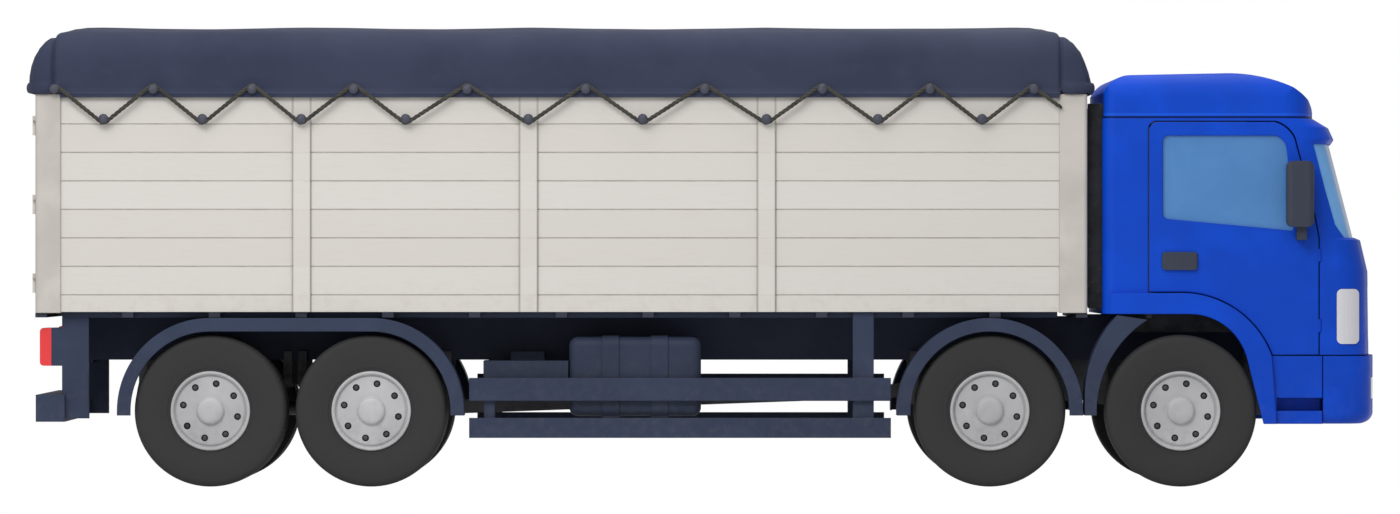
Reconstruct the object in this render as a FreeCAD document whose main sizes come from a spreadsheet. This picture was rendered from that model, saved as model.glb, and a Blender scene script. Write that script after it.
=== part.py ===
# Rigid four-axle cargo truck: forward-control tilting cab, planked load body with a tarpaulin
# on hoops, twin steering axles, tandem drive axles on twin wheels.
# Frame: +X to the front, +Y to the truck's left, +Z up. Origin on the ground, under the middle of the
# overall box. Millimetres. The right-hand side is drawn first and mirrored to the left.

import FreeCAD, Part
import Sketcher
import math
import os

V = FreeCAD.Vector
RIGHT = -1
LEFT = 1

doc = FreeCAD.newDocument("CargoTruck")
sheet = doc.addObject("Spreadsheet::Sheet", "Dims")


class Size:
    """A length or an angle that knows its value and the spreadsheet formula it comes from."""

    def __init__(self, value, text):
        self.value = float(value)
        self.text = text

    def __add__(self, other):
        other = as_size(other)
        return Size(self.value + other.value, f"({self.text} + {other.text})")

    def __sub__(self, other):
        other = as_size(other)
        return Size(self.value - other.value, f"({self.text} - {other.text})")

    def __mul__(self, other):
        other = as_size(other)
        return Size(self.value * other.value, f"({self.text} * {other.text})")

    def __truediv__(self, other):
        other = as_size(other)
        return Size(self.value / other.value, f"({self.text} / {other.text})")

    def __neg__(self):
        return Size(-self.value, f"(0 - {self.text})")

    def __radd__(self, other):
        return as_size(other) + self

    def __rsub__(self, other):
        return as_size(other) - self

    def __rmul__(self, other):
        return as_size(other) * self


def as_size(number):
    return number if isinstance(number, Size) else Size(number, repr(number))


def root(size):
    """Square root of a size product, as a size."""
    return Size(math.sqrt(size.value), f"sqrt({size.text})")


# Driving dimensions. Each one is a cell of the sheet under its own alias.
DIMENSIONS = {
    "overall": {
        "cab_length": 2240.0,
        "cab_gap": 124.0,
        "front_overhang": 1616.0,
        "steer_spacing": 1528.0,
        "rear_overhang": 1456.0,
        "tandem_spacing": 1288.0,
        "side_face": 1225.0,
        "fit_gap": 0.3,
        "running_gap": 0.9,
        "shut_gap": 7.0,
        "overrun": 20.0,
    },
    "wheels": {
        "tyre_radius": 608.0,
        "tyre_width": 285.0,
        "tyre_face": 1235.0,
        "tyre_shoulder": 42.0,
        "sidewall_radius": 430.0,
        "bead_radius": 300.0,
        "bead_width": 230.0,
        "rim_lip_radius": 318.0,
        "rim_lip_width": 13.0,
        "rim_wall": 12.0,
        "disc_set": 42.0,
        "disc_wall": 16.0,
        "disc_drop": 14.0,
        "hub_cap_radius": 112.0,
        "hub_cap_height": 38.0,
        "hub_cap_round": 26.0,
        "nut_circle": 444.0,
        "nut_hole": 46.0,
        "nut_count": 8.0,
        "nut_turn": 12.0,
        "twin_gap": 35.0,
        "drum_radius": 205.0,
        "drum_width": 94.0,
        "hub_clear": 6.0,
        "hub_radius": 130.0,
        "spindle_radius": 45.0,
        "spindle_cover": 20.0,
    },
    "steering": {
        "kingpin_face": 985.0,
        "kingpin_radius": 24.0,
        "knuckle_radius": 95.0,
        "knuckle_height": 230.0,
        "fork_gap": 112.0,
        "fork_clear": 6.0,
        "beam_width": 90.0,
        "beam_height": 96.0,
        "beam_drop": 110.0,
        "beam_end_radius": 62.0,
        "beam_end_height": 100.0,
        "beam_shoulder": 300.0,
        "slot_radius": 70.0,
        "arm_length": 250.0,
        "arm_inset": 75.0,
        "arm_width": 50.0,
        "arm_thickness": 34.0,
        "tie_rod_radius": 20.0,
        "ball_radius": 26.0,
    },
    "frame": {
        "rail_bottom": 1008.0,
        "rail_height": 300.0,
        "rail_flange": 80.0,
        "rail_wall": 12.0,
        "rail_face": 430.0,
        "runner_height": 48.0,
        "frame_rear_set": 264.0,
        "frame_front_set": 330.0,
        "crossmember_length": 110.0,
        "crossmember_height": 190.0,
        "coupling_plate": 16.0,
        "coupling_plate_height": 260.0,
        "coupling_hole": 10.5,
        "coupling_span": 160.0,
        "coupling_rise": 100.0,
        "spring_width": 75.0,
        "spring_length": 1240.0,
        "spring_rise": 105.0,
        "spring_pack": 62.0,
        "hanger_length": 70.0,
        "axle_tube_radius": 78.0,
        "axle_bowl_radius": 215.0,
        "axle_bowl_width": 330.0,
        "shaft_radius": 55.0,
        "engine_length": 1180.0,
        "engine_width": 620.0,
        "engine_height": 780.0,
        "engine_bottom": 560.0,
        "engine_front_set": 560.0,
        "gearbox_length": 820.0,
        "gearbox_width": 420.0,
        "gearbox_height": 460.0,
    },
    "pivot": {
        "pivot_set": 270.0,
        "pivot_height": 620.0,
        "pivot_pin": 28.0,
        "pivot_boss": 62.0,
        "pivot_plate": 36.0,
        "pivot_gap": 6.0,
        },
}
DIMENSIONS["load_body"] = {
    "body_rear_set": 56.0,
    "wall_height": 1730.0,
    "wall_thickness": 40.0,
    "sill_height": 136.0,
    "board_pitch": 228.0,
    "board_count": 7.0,
    "groove_width": 9.0,
    "groove_depth": 7.0,
    "rear_bay": 1856.0,
    "second_bay": 1672.0,
    "third_bay": 1760.0,
    "front_bay": 2272.0,
    "post_width": 144.0,
    "post_proud": 18.0,
    "post_height": 1526.0,
    "rear_post": 204.0,
    "front_post": 224.0,
    "corner_post_depth": 110.0,
    "corner_post_drop": 8.0,
    "corner_post_rise": 14.0,
    "corner_post_round": 34.0,
    "bearer_height": 44.0,
    "bearer_width": 90.0,
    "bearer_pitch": 698.0,
    "deck_thickness": 40.0,
    "leaf_thickness": 45.0,
    "leaf_hinge_set": 16.0,
    "leaf_hinge_radius": 14.0,
    "leaf_lug_radius": 10.0,
    "leaf_sill": 10.0,
    "header_height": 66.0,
    "lock_rod_radius": 17.0,
    "lock_rod_set": 190.0,
}
DIMENSIONS["cover"] = {
    "cover_side": 1262.0,
    "cover_thickness": 10.0,
    "cover_height": 577.0,
    "cover_crown": 52.0,
    "cover_shoulder": 230.0,
    "cover_end_radius": 490.0,
    "cover_nose_radius": 560.0,
    "cover_corner": 120.0,
    "hem_drop": 14.0,
    "hem_height": 44.0,
    "hem_proud": 8.0,
    "end_hem_rise": 22.0,
    "cover_front_set": 44.0,
    "hoop_width": 60.0,
    "hoop_depth": 34.0,
    "rope_radius": 12.0,
    "rope_side": 1286.0,
    "knob_radius": 40.0,
    "knob_dome": 22.0,
    "knob_pin": 14.0,
    "hook_drop": 186.0,
    "eyelet_rise": 54.0,
}
DIMENSIONS["guards"] = {
    "guard_rear_set": 784.0,
    "guard_front_set": 792.0,
    "guard_top": 872.0,
    "guard_rail_height": 184.0,
    "guard_low_top": 552.0,
    "guard_low_height": 160.0,
    "guard_rail_width": 40.0,
    "guard_post_front_set": 136.0,
    "guard_post_front_width": 168.0,
    "guard_post_rear_set": 118.0,
    "guard_post_rear_width": 88.0,
    "guard_post_depth": 50.0,
    "tank_rear_set": 800.0,
    "tank_length": 1056.0,
    "tank_top": 1200.0,
    "tank_height": 636.0,
    "tank_inner": 560.0,
    "tank_outer": 1165.0,
    "tank_round": 70.0,
    "strap_width": 136.0,
    "strap_proud": 10.0,
    "strap_set": 264.0,
    "locker_length": 688.0,
    "locker_top": 1008.0,
    "locker_height": 310.0,
    "guard_skin": 10.0,
    "guard_arch": 744.0,
    "guard_lip": 108.0,
    "guard_lip_width": 30.0,
    "guard_inner": 920.0,
    "guard_face": 1270.0,
    "guard_foot": 572.0,
    "quarter_tip_set": 268.0,
    "quarter_tip_height": 1338.0,
    "quarter_crest_set": 512.0,
    "quarter_crest_height": 1374.0,
    "quarter_outer_set": 770.0,
    "quarter_outer_bend": 700.0,
    "quarter_outer_radius": 957.0,
    "quarter_inner_set": 675.0,
    "quarter_inner_bend": 600.0,
    "quarter_inner_radius": 873.0,
    "underrun_rear_set": 56.0,
    "underrun_length": 232.0,
    "underrun_bottom": 520.0,
    "underrun_height": 216.0,
    "underrun_half": 1180.0,
    "bracket_length": 216.0,
    "bracket_width": 60.0,
    "bracket_half": 1120.0,
    "lamp_bottom": 968.0,
    "lamp_height": 304.0,
    "lamp_lens": 92.0,
    "lamp_length": 180.0,
    "lamp_width": 420.0,
}
DIMENSIONS["cab"] = {
    "cab_side": 1225.0,
    "cab_wall": 58.0,
    "cab_bottom": 1056.0,
    "cab_floor": 1384.0,
    "cab_floor_wall": 56.0,
    "cab_front_low_from_front": 34.0,
    "cab_knee": 1720.0,
    "cab_front_knee_from_front": 42.0,
    "cab_belt": 1975.0,
    "cab_front_belt_from_front": 102.0,
    "glass_bottom": 1995.0,
    "glass_foot_from_front": 148.0,
    "glass_top": 2745.0,
    "glass_head_from_front": 344.0,
    "brow_height": 2786.0,
    "brow_front_from_front": 316.0,
    "brow_top": 2880.0,
    "brow_back_from_front": 360.0,
    "cab_seam": 2952.0,
    "seam_front_from_front": 480.0,
    "cab_corner_rear": 100.0,
    "cab_corner_front": 230.0,
    "cab_crown": 6000.0,
    "pane_thickness": 8.0,
    "pane_set": 14.0,
    "pillar_top_from_front": 554.0,
    "pillar_middle_from_front": 458.0,
    "pillar_knee_from_front": 380.0,
    "pillar_knee_height": 2100.0,
    "pillar_middle_height": 2376.0,
    "pillar_foot_from_front": 304.0,
}
DIMENSIONS["cab_roof"] = {
    "cap_top": 3316.0,
    "cap_wall": 40.0,
    "cap_inset": 10.0,
    "cap_rear_rise": 178.0,
    "cap_rear_run": 220.0,
    "cap_rear_radius": 240.0,
    "cap_crest_from_front": 1224.0,
    "cap_crest_rise": 17.0,
    "cap_brow_from_front": 720.0,
    "cap_brow_drop": 112.0,
    "cap_brow_radius": 1250.0,
    "cap_nose_radius": 620.0,
    "cap_shoulder": 190.0,
}
DIMENSIONS["doors"] = {
    "door_gap": 9.0,
    "door_rear_from_front": 1878.0,
    "door_front_from_front": 504.0,
    "door_top": 2930.0,
    "door_round": 70.0,
    "door_head_front_from_front": 860.0,
    "door_head_bend_from_front": 696.0,
    "door_head_height": 2792.0,
    "door_head_radius": 240.0,
    "door_bend_from_front": 563.0,
    "door_bend_height": 2288.0,
    "door_waist": 1990.0,
    "door_bottom": 1050.0,
    "door_skin": 52.0,
    "door_hinge_radius": 11.0,
    "door_hinge_height": 104.0,
    "window_rear_from_front": 1760.0,
    "window_top": 2812.0,
    "window_head_front_from_front": 860.0,
    "window_head_bend_from_front": 770.0,
    "window_head_height": 2724.0,
    "window_head_radius": 130.0,
    "window_corner": 45.0,
    "window_front_from_front": 708.0,
    "window_bottom_rear": 2148.0,
    "window_bottom_front": 2050.0,
    "window_lower_x_from_front": 718.0,
    "door_pane_set": 20.0,
    "handle_rear_from_front": 1768.0,
    "handle_length": 288.0,
    "handle_bottom": 1736.0,
    "handle_height": 144.0,
    "handle_proud": 26.0,
    "handle_corner": 28.0,
    "mirror_rear_from_front": 784.0,
    "mirror_length": 224.0,
    "mirror_bottom": 2080.0,
    "mirror_height": 528.0,
    "mirror_gap": 70.0,
    "mirror_width": 140.0,
    "mirror_round": 50.0,
    "mirror_corner": 56.0,
    "stalk_length": 80.0,
    "stalk_drop": 104.0,
    "stalk_set": 56.0,
}
DIMENSIONS["cab_lower"] = {
    "flare_top": 1552.0,
    "flare_rear_set": 56.0,
    "flare_bend_from_axle": 22.0,
    "flare_radius": 766.0,
    "flare_knee_from_axle": 726.0,
    "flare_knee_height": 1048.0,
    "flare_proud": 37.0,
    "arch_bend_from_axle": 72.0,
    "arch_radius": 473.0,
    "arch_knee_from_axle": 524.0,
    "arch_knee_height": 1050.0,
    "arch_foot_from_axle": 662.0,
    "flare_foot_from_axle": 766.0,
    "cab_foot": 504.0,
    "step_front_from_front": 484.0,
    "step_inner": 900.0,
    "step_recess_bottom": 608.0,
    "step_recess_top": 712.0,
    "step_recess_depth": 170.0,
    "step_post": 38.0,
    "bumper_rear_from_front": 477.0,
    "bumper_top": 1048.0,
    "bumper_wall": 40.0,
    "bumper_corner": 250.0,
    "bumper_round": 90.0,
    "bumper_lamp_bottom": 700.0,
    "bumper_lamp_height": 170.0,
    "bumper_lamp_inner": 560.0,
    "bumper_lamp_width": 330.0,
    "lamp_rear_from_front": 368.0,
    "head_lamp_length": 184.0,
    "head_lamp_bottom": 1144.0,
    "head_lamp_height": 440.0,
    "head_lamp_corner": 42.0,
    "head_lamp_depth": 36.0,
    "head_lamp_proud": 8.0,
    "grille_half": 620.0,
    "grille_bottom": 1180.0,
    "grille_height": 420.0,
    "grille_depth": 30.0,
    "grille_back": 8.0,
    "grille_count": 6.0,
    "seat_rear_from_front": 2000.0,
    "seat_width": 520.0,
    "seat_side": 600.0,
    "seat_height": 420.0,
    "seat_depth": 520.0,
    "seat_back": 700.0,
    "seat_back_depth": 130.0,
    "seat_round": 45.0,
    "dash_front_from_front": 340.0,
    "dash_depth": 320.0,
    "dash_bottom": 1640.0,
    "dash_height": 320.0,
    "dash_half": 1090.0,
    "console_half": 200.0,
    "ring_radius": 225.0,
    "ring_tube": 17.0,
    "ring_tilt": 25.0,
    "ring_rise": 90.0,
    "ring_set": 330.0,
    "column_radius": 30.0,
}


def fill_sheet():
    """Writes every driving dimension into the sheet, and gives it back as a size."""
    found = {}
    row = 0
    for group in DIMENSIONS.values():
        for alias, number in group.items():
            row += 1
            sheet.set(f"A{row}", alias)
            sheet.set(f"B{row}", repr(number))
            sheet.setAlias(f"B{row}", alias)
            found[alias] = Size(number, f"Dims.{alias}")
    doc.recompute()
    return found


class Named:
    """The sizes of the sheet as attributes."""

    def __init__(self, sizes):
        self.__dict__.update(sizes)


d = Named(fill_sheet())

PLACES = []


def worked_out(alias, size):
    """A place that pieces share, in a cell of its own, so that what follows it stays short."""
    PLACES.append(alias)
    row = len(PLACES)
    sheet.set(f"D{row}", alias)
    sheet.set(f"E{row}", "=" + size.text.replace("Dims.", ""))
    sheet.setAlias(f"E{row}", alias)
    return Size(size.value, f"Dims.{alias}")


# Places that several pieces share. The truck is as long as its body, its cab and the gap between them.
BODY_LENGTH = worked_out("body_length", d.rear_post + d.rear_bay + d.second_bay + d.third_bay + d.front_bay
                         + d.post_width * 3 + d.front_post)
FRONT_END = worked_out("front_end", (d.body_rear_set + BODY_LENGTH + d.cab_gap + d.cab_length) / 2)
REAR_END = -FRONT_END
AXLES = [worked_out("first_axle", FRONT_END - d.front_overhang)]
AXLES.append(worked_out("second_axle", AXLES[0] - d.steer_spacing))
AXLES.append(worked_out("third_axle", REAR_END + d.rear_overhang + d.tandem_spacing))
AXLES.append(worked_out("fourth_axle", REAR_END + d.rear_overhang))
AXLE_NAMES = ["first", "second", "third", "fourth"]
AXLE_HEIGHT = d.tyre_radius
WHEEL_MIDDLE = d.tyre_face - d.tyre_width / 2
BODY_REAR = worked_out("body_rear", REAR_END + d.body_rear_set)
POST_STARTS = [worked_out("first_post", BODY_REAR + d.rear_post + d.rear_bay)]
POST_STARTS.append(worked_out("second_post", POST_STARTS[0] + d.post_width + d.second_bay))
POST_STARTS.append(worked_out("third_post", POST_STARTS[1] + d.post_width + d.third_bay))
WALL_REAR = BODY_REAR + d.rear_post
WALL_FRONT = worked_out("wall_front", POST_STARTS[2] + d.post_width + d.front_bay)
BODY_FRONT = WALL_FRONT + d.front_post
RAIL_TOP = d.rail_bottom + d.rail_height
RUNNER_TOP = RAIL_TOP + d.runner_height
WALL_BOTTOM = worked_out("wall_bottom", RUNNER_TOP + d.bearer_height)
WALL_TOP = worked_out("wall_top", WALL_BOTTOM + d.wall_height)
POST_OUTER = d.side_face + d.post_proud
COVER_TOP = WALL_TOP + d.cover_height
HEM_BOTTOM = WALL_TOP - d.hem_drop
END_HEM = WALL_TOP + d.end_hem_rise
COVER_FRONT = BODY_FRONT + d.cover_front_set
HOOK_LEVEL = WALL_TOP - d.hook_drop
EYELET_LEVEL = WALL_TOP + d.eyelet_rise
FRAME_REAR = REAR_END + d.frame_rear_set
FRAME_FRONT = FRONT_END - d.frame_front_set
PIVOT_X = FRONT_END - d.pivot_set
GUARD_REAR = AXLES[2] + d.guard_rear_set
GUARD_FRONT = AXLES[1] - d.guard_front_set
TANK_REAR = GUARD_REAR + d.tank_rear_set
CAB_REAR = worked_out("cab_rear", FRONT_END - d.cab_length)


def cab_places():
    """Places of the cab, each worked out from its distance behind the front end or ahead of the first axle."""
    found = {}
    for alias, size in vars(d).items():
        if alias.endswith("_from_front"):
            found[alias.removesuffix("_from_front")] = FRONT_END - size
        elif alias.endswith("_from_axle"):
            found[alias.removesuffix("_from_axle")] = AXLES[0] + size
    return {alias: worked_out(alias, size) for alias, size in found.items()}


c = Named(cab_places())
doc.recompute()


def bind(thing, prop, size):
    """Sets a property from a size, by its formula."""
    thing.setExpression(prop, as_size(size).text)


def place(thing, x=None, y=None, z=None):
    for axis, size in (("x", x), ("y", y), ("z", z)):
        if size is not None:
            bind(thing, f"Placement.Base.{axis}", size)
    return thing


def box(name, x, y, z):
    """A block between the two places of each pair."""
    made = doc.addObject("Part::Box", name)
    bind(made, "Length", x[1] - x[0])
    bind(made, "Width", y[1] - y[0])
    bind(made, "Height", z[1] - z[0])
    return place(made, x[0], y[0], z[0])


TURNS = {
    "x": FreeCAD.Rotation(V(0, 1, 0), 90),
    "y": FreeCAD.Rotation(V(1, 0, 0), -90),
    "z": FreeCAD.Rotation(),
}


def rod(name, axis, span, radius, x=0, y=0, z=0):
    """A round bar along an axis, between the two places of span on that axis."""
    made = doc.addObject("Part::Cylinder", name)
    bind(made, "Radius", radius)
    bind(made, "Height", span[1] - span[0])
    made.Placement = FreeCAD.Placement(V(), TURNS[axis])
    where = {"x": x, "y": y, "z": z}
    where[axis] = span[0]
    return place(made, **where)


def cut(name, base, *tools):
    tool = tools[0] if len(tools) == 1 else join(name + "_tools", *tools)
    made = doc.addObject("Part::Cut", name)
    made.Base = base
    made.Tool = tool
    return made


def join(name, *pieces):
    made = doc.addObject("Part::MultiFuse", name)
    made.Shapes = list(pieces)
    made.Refine = True
    return made


def overlap(name, base, tool):
    made = doc.addObject("Part::Common", name)
    made.Base = base
    made.Tool = tool
    return made


def together(name, *pieces):
    """Pieces that share a node without touching."""
    made = doc.addObject("Part::Compound", name)
    made.Links = list(pieces)
    return made


def mirrored(name, source):
    """The left-hand twin of a right-hand piece."""
    made = doc.addObject("Part::Mirroring", name)
    made.Source = source
    made.Normal = V(0, 1, 0)
    return made


def both_sides(name, source):
    return together(name, source, mirrored(name + "_left", source))


def edges_where(thing, test):
    """Numbers of the edges of a recomputed object that a test keeps."""
    doc.recompute()
    return [n + 1 for n, edge in enumerate(thing.Shape.Edges) if test(edge)]


def rounded(name, base, radius, test):
    """A fillet on the edges that a test keeps."""
    made = doc.addObject("Part::Fillet", name)
    made.Base = base
    made.Edges = [(n, radius.value, radius.value) for n in edges_where(base, test)]
    return made


def along(axis, low=None, high=None, at=None):
    """A test for straight edges along an axis, with their middle inside the given limits."""
    index = "xyz".index(axis)

    def test(edge):
        if edge.Curve.TypeId != "Part::GeomLine":
            return False
        run = edge.Vertexes[-1].Point - edge.Vertexes[0].Point
        if abs(abs(run[index]) - run.Length) > 1e-6 * max(run.Length, 1):
            return False
        middle = edge.CenterOfMass
        for limit, sense in ((low, 1), (high, -1)):
            for key, value in (limit or {}).items():
                if sense * (middle["xyz".index(key)] - as_size(value).value) < -d.fit_gap.value:
                    return False
        return True

    return test


def bow(start, end, radius, turn):
    """Centre of the short arc of that radius from start to end, turning left (+1) or right (-1)."""
    chord = end - start
    rise = math.sqrt(max(radius * radius - chord.Length * chord.Length / 4, 0.0))
    left = V(-chord.y, chord.x, 0).normalize()
    return start + chord / 2 + left * (turn * rise)


PLANES = {"xz": "XZ_Plane", "yz": "YZ_Plane", "xy": "XY_Plane"}


def outline(body, plane, points, name="Outline", offset=None):
    """A closed sketch through points (u, v), or (u, v, radius, turn) where the next side is an arc."""
    sketch = body.newObject("Sketcher::SketchObject", name)
    role = PLANES[plane]
    feature = [f for f in body.Origin.OriginFeatures if f.Role == role][0]
    sketch.AttachmentSupport = (feature, [""])
    sketch.MapMode = "FlatFace"
    if offset is not None:
        bind(sketch, ".AttachmentOffset.Base.z", offset)
    places = [V(as_size(p[0]).value, as_size(p[1]).value, 0) for p in points]
    ends = []
    for i, point in enumerate(points):
        start, end = places[i], places[(i + 1) % len(points)]
        if len(point) == 2:
            sketch.addGeometry(Part.LineSegment(start, end))
            ends.append((1, 2))
            continue
        radius, turn = as_size(point[2]), point[3]
        centre = bow(start, end, radius.value, turn)
        first, last = (start, end) if turn > 0 else (end, start)
        a0 = math.atan2(first.y - centre.y, first.x - centre.x)
        a1 = math.atan2(last.y - centre.y, last.x - centre.x)
        if a1 < a0:
            a1 += 2 * math.pi
        circle = Part.Circle(centre, V(0, 0, 1), radius.value)
        sketch.addGeometry(Part.ArcOfCircle(circle, a0, a1))
        ends.append((1, 2) if turn > 0 else (2, 1))
    for i, point in enumerate(points):
        following = (i + 1) % len(points)
        sketch.addConstraint(Sketcher.Constraint("Coincident", i, ends[i][1], following, ends[following][0]))
        for kind, index in (("DistanceX", 0), ("DistanceY", 1)):
            size = as_size(point[index])
            rule = Sketcher.Constraint(kind, -1, 1, i, ends[i][0], size.value)
            number = sketch.addConstraint(rule)
            if "Dims" in size.text:
                sketch.setExpression(f"Constraints[{number}]", size.text)
        if len(point) > 2:
            number = sketch.addConstraint(Sketcher.Constraint("Radius", i, as_size(point[2]).value))
            sketch.setExpression(f"Constraints[{number}]", as_size(point[2]).text)
    return sketch


def new_body(name):
    return doc.addObject("PartDesign::Body", name)


def slab(name, plane, points, start, length):
    """An outline padded along its plane's normal axis (-y for xz, +x for yz, +z for xy) from start."""
    body = new_body(name)
    sketch = outline(body, plane, points)
    pad = body.newObject("PartDesign::Pad", "Pad")
    pad.Profile = sketch
    bind(pad, "Length", length)
    body.Tip = pad
    axis = {"xz": "y", "yz": "x", "xy": "z"}[plane]
    return place(body, **{axis: start})


def turned(name, points, x=0, y=0, z=0):
    """A ring or disc turned about the Y axis through (x, z), from an outline of (radius, y)."""
    body = new_body(name)
    sketch = outline(body, "xy", points)
    turn = body.newObject("PartDesign::Revolution", "Turn")
    turn.Profile = sketch
    turn.ReferenceAxis = (sketch, ["V_Axis"])
    turn.Angle = 360.0
    body.Tip = turn
    return place(body, x, y, z)


NODES = {}


def node(name, thing):
    """Names a finished sub-part."""
    thing.Label = name
    NODES[name] = thing
    return thing


# Chassis frame.

def frame_rails():
    """Two channel rails open to the inside, each with a runner that the load body sits on."""
    web = d.rail_face - d.rail_wall
    lip = d.rail_face - d.rail_flange
    low = d.rail_bottom + d.rail_wall
    high = RAIL_TOP - d.rail_wall
    channel = [(-d.rail_face, d.rail_bottom), (-lip, d.rail_bottom), (-lip, low), (-web, low)]
    channel += [(-web, high), (-lip, high), (-lip, RAIL_TOP), (-d.rail_face, RAIL_TOP)]
    rail = slab("Rail", "yz", channel, FRAME_REAR, FRAME_FRONT - FRAME_REAR)
    runner = box("Runner", (FRAME_REAR, BODY_FRONT), (-d.rail_face, -lip), (RAIL_TOP, RUNNER_TOP))
    node("frame_rails", both_sides("Rails", join("RailWithRunner", rail, runner)))


CROSSMEMBER_SHARES = (0.3, 0.65)


def frame_crossmembers():
    """Boxes between the webs, the rear coupling plate and the brackets that carry the cab's pivot."""
    web = d.rail_face - d.rail_wall
    middle = d.rail_bottom + d.rail_height / 2
    level = (middle - d.crossmember_height / 2, middle + d.crossmember_height / 2)
    starts = [FRAME_REAR, FRAME_FRONT - d.crossmember_length]
    bogie = (AXLES[2] + AXLES[3]) / 2 - d.crossmember_length / 2
    starts += [bogie, AXLES[1] - d.steer_spacing / 2]
    span = AXLES[1] - d.steer_spacing / 2 - bogie
    starts += [bogie + span * share for share in CROSSMEMBER_SHARES]
    members = []
    for start in starts:
        members.append(box("Member", (start, start + d.crossmember_length), (-web, web), level))
    plate_bottom = middle - d.coupling_plate_height / 2
    plate = box("CouplingPlate", (FRAME_REAR - d.coupling_plate, FRAME_REAR),
                (-d.coupling_span, d.coupling_span), (plate_bottom, plate_bottom + d.coupling_plate_height))
    holes = []
    for side in (RIGHT, LEFT):
        for way in (-1, 1):
            holes.append(rod("Bolt", "x", (FRAME_REAR - d.overrun, FRAME_REAR + d.overrun), d.coupling_hole,
                             y=side * d.coupling_span / 2, z=middle + way * d.coupling_rise / 2))
    members[0] = cut("RearMember", join("RearMemberWithPlate", members[0], plate), *holes)
    brackets = []
    foot = (PIVOT_X - d.pivot_boss, d.pivot_height)
    shoulder = (PIVOT_X + d.pivot_boss, d.pivot_height)
    heel = FRAME_FRONT - d.crossmember_length * 2
    for side, near in ((RIGHT, -d.rail_face), (LEFT, d.rail_face - d.pivot_plate)):
        points = [(heel, d.rail_bottom), (FRAME_FRONT, d.rail_bottom), shoulder, foot]
        plate = slab("PivotPlate", "xz", points, near + d.pivot_plate, d.pivot_plate)
        boss = rod("PivotBoss", "y", (near, near + d.pivot_plate), d.pivot_boss, PIVOT_X, z=d.pivot_height)
        reach = d.pivot_gap + d.pivot_plate + d.pivot_gap
        start = near - reach if side == RIGHT else near
        pin = rod("PivotPin", "y", (start, start + d.pivot_plate + reach), d.pivot_pin, PIVOT_X, z=d.pivot_height)
        brackets.append(join("PivotBracket", plate, boss, pin))
    node("frame_crossmembers", together("Crossmembers", *members, *brackets))


def engine():
    """The engine and its gearbox as plain blocks between the rails."""
    front = FRONT_END - d.engine_front_set
    rear = front - d.engine_length
    middle = d.engine_bottom + d.engine_height / 2
    block = box("Block", (rear, front), (-d.engine_width / 2, d.engine_width / 2),
                (d.engine_bottom, d.engine_bottom + d.engine_height))
    level = middle - d.gearbox_height * 3 / 5
    gears = box("Gearbox", (rear - d.gearbox_length, rear), (-d.gearbox_width / 2, d.gearbox_width / 2),
                (level, level + d.gearbox_height))
    node("engine", join("EngineWithGearbox", block, gears))


def leaf_spring(name, axle, height):
    """A bowed pack of leaves from hanger to hanger, clamped on the axle."""
    half = d.spring_length / 2
    spring_top = height + d.spring_rise
    low = [(axle - half, spring_top), (axle, height), (axle + half, spring_top)]
    high = [(axle + half, spring_top + d.spring_pack / 2), (axle, height + d.spring_pack)]
    high.append((axle - half, spring_top + d.spring_pack / 2))
    outer = d.rail_face + d.fit_gap * 10
    pack = slab("Leaves", "xz", low + high, -outer, d.spring_width)
    hangers = []
    for way in (-1, 1):
        end = axle + way * (half - d.hanger_length / 2)
        hangers.append(box("Hanger", (end - d.hanger_length / 2, end + d.hanger_length / 2),
                           (-outer - d.spring_width, -d.rail_face), (spring_top, d.rail_bottom + d.hanger_length)))
    clamp = box("Clamp", (axle - d.hanger_length, axle + d.hanger_length), (-outer - d.spring_width, -outer),
                (height, height + d.spring_pack + d.spring_pack / 3))
    return join(name, pack, clamp, *hangers)


def springs():
    packs = []
    for axle in AXLES[:2]:
        seat = AXLE_HEIGHT - d.beam_drop + d.beam_height / 2
        packs.append(leaf_spring("SteerSpring", axle, seat))
    for axle in AXLES[2:]:
        packs.append(leaf_spring("DriveSpring", axle, AXLE_HEIGHT + d.axle_tube_radius))
    node("springs", both_sides("Springs", together("SpringPacks", *packs)))


def steer_beam(axle):
    """A dropped beam whose ends carry the kingpins."""
    low = AXLE_HEIGHT - d.beam_drop
    half = d.beam_height / 2
    end = d.beam_end_height / 2
    inner = d.kingpin_face - d.beam_shoulder
    knee = d.kingpin_face - d.knuckle_radius - d.fork_clear
    right = [(-d.kingpin_face, AXLE_HEIGHT + end), (-d.kingpin_face, AXLE_HEIGHT - end)]
    right += [(-knee, AXLE_HEIGHT - end), (-inner, low - half)]
    left = [(inner, low - half), (knee, AXLE_HEIGHT - end), (d.kingpin_face, AXLE_HEIGHT - end)]
    left += [(d.kingpin_face, AXLE_HEIGHT + end), (knee, AXLE_HEIGHT + end), (inner, low + half)]
    back = [(-inner, low + half), (-knee, AXLE_HEIGHT + end)]
    beam = slab("Beam", "yz", right + left + back, axle - d.beam_width / 2, d.beam_width)
    pieces = [beam]
    for side in (RIGHT, LEFT):
        boss = (AXLE_HEIGHT - end, AXLE_HEIGHT + end)
        pieces.append(rod("BeamEye", "z", boss, d.beam_end_radius, axle, side * d.kingpin_face))
        pin = (AXLE_HEIGHT - d.knuckle_height / 2, AXLE_HEIGHT + d.knuckle_height / 2)
        pieces.append(rod("Kingpin", "z", pin, d.kingpin_radius, axle, side * d.kingpin_face))
    return join("SteerBeam", *pieces)


def steer_axles():
    node("steer_axles", together("SteerAxles", *[steer_beam(axle) for axle in AXLES[:2]]))


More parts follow.
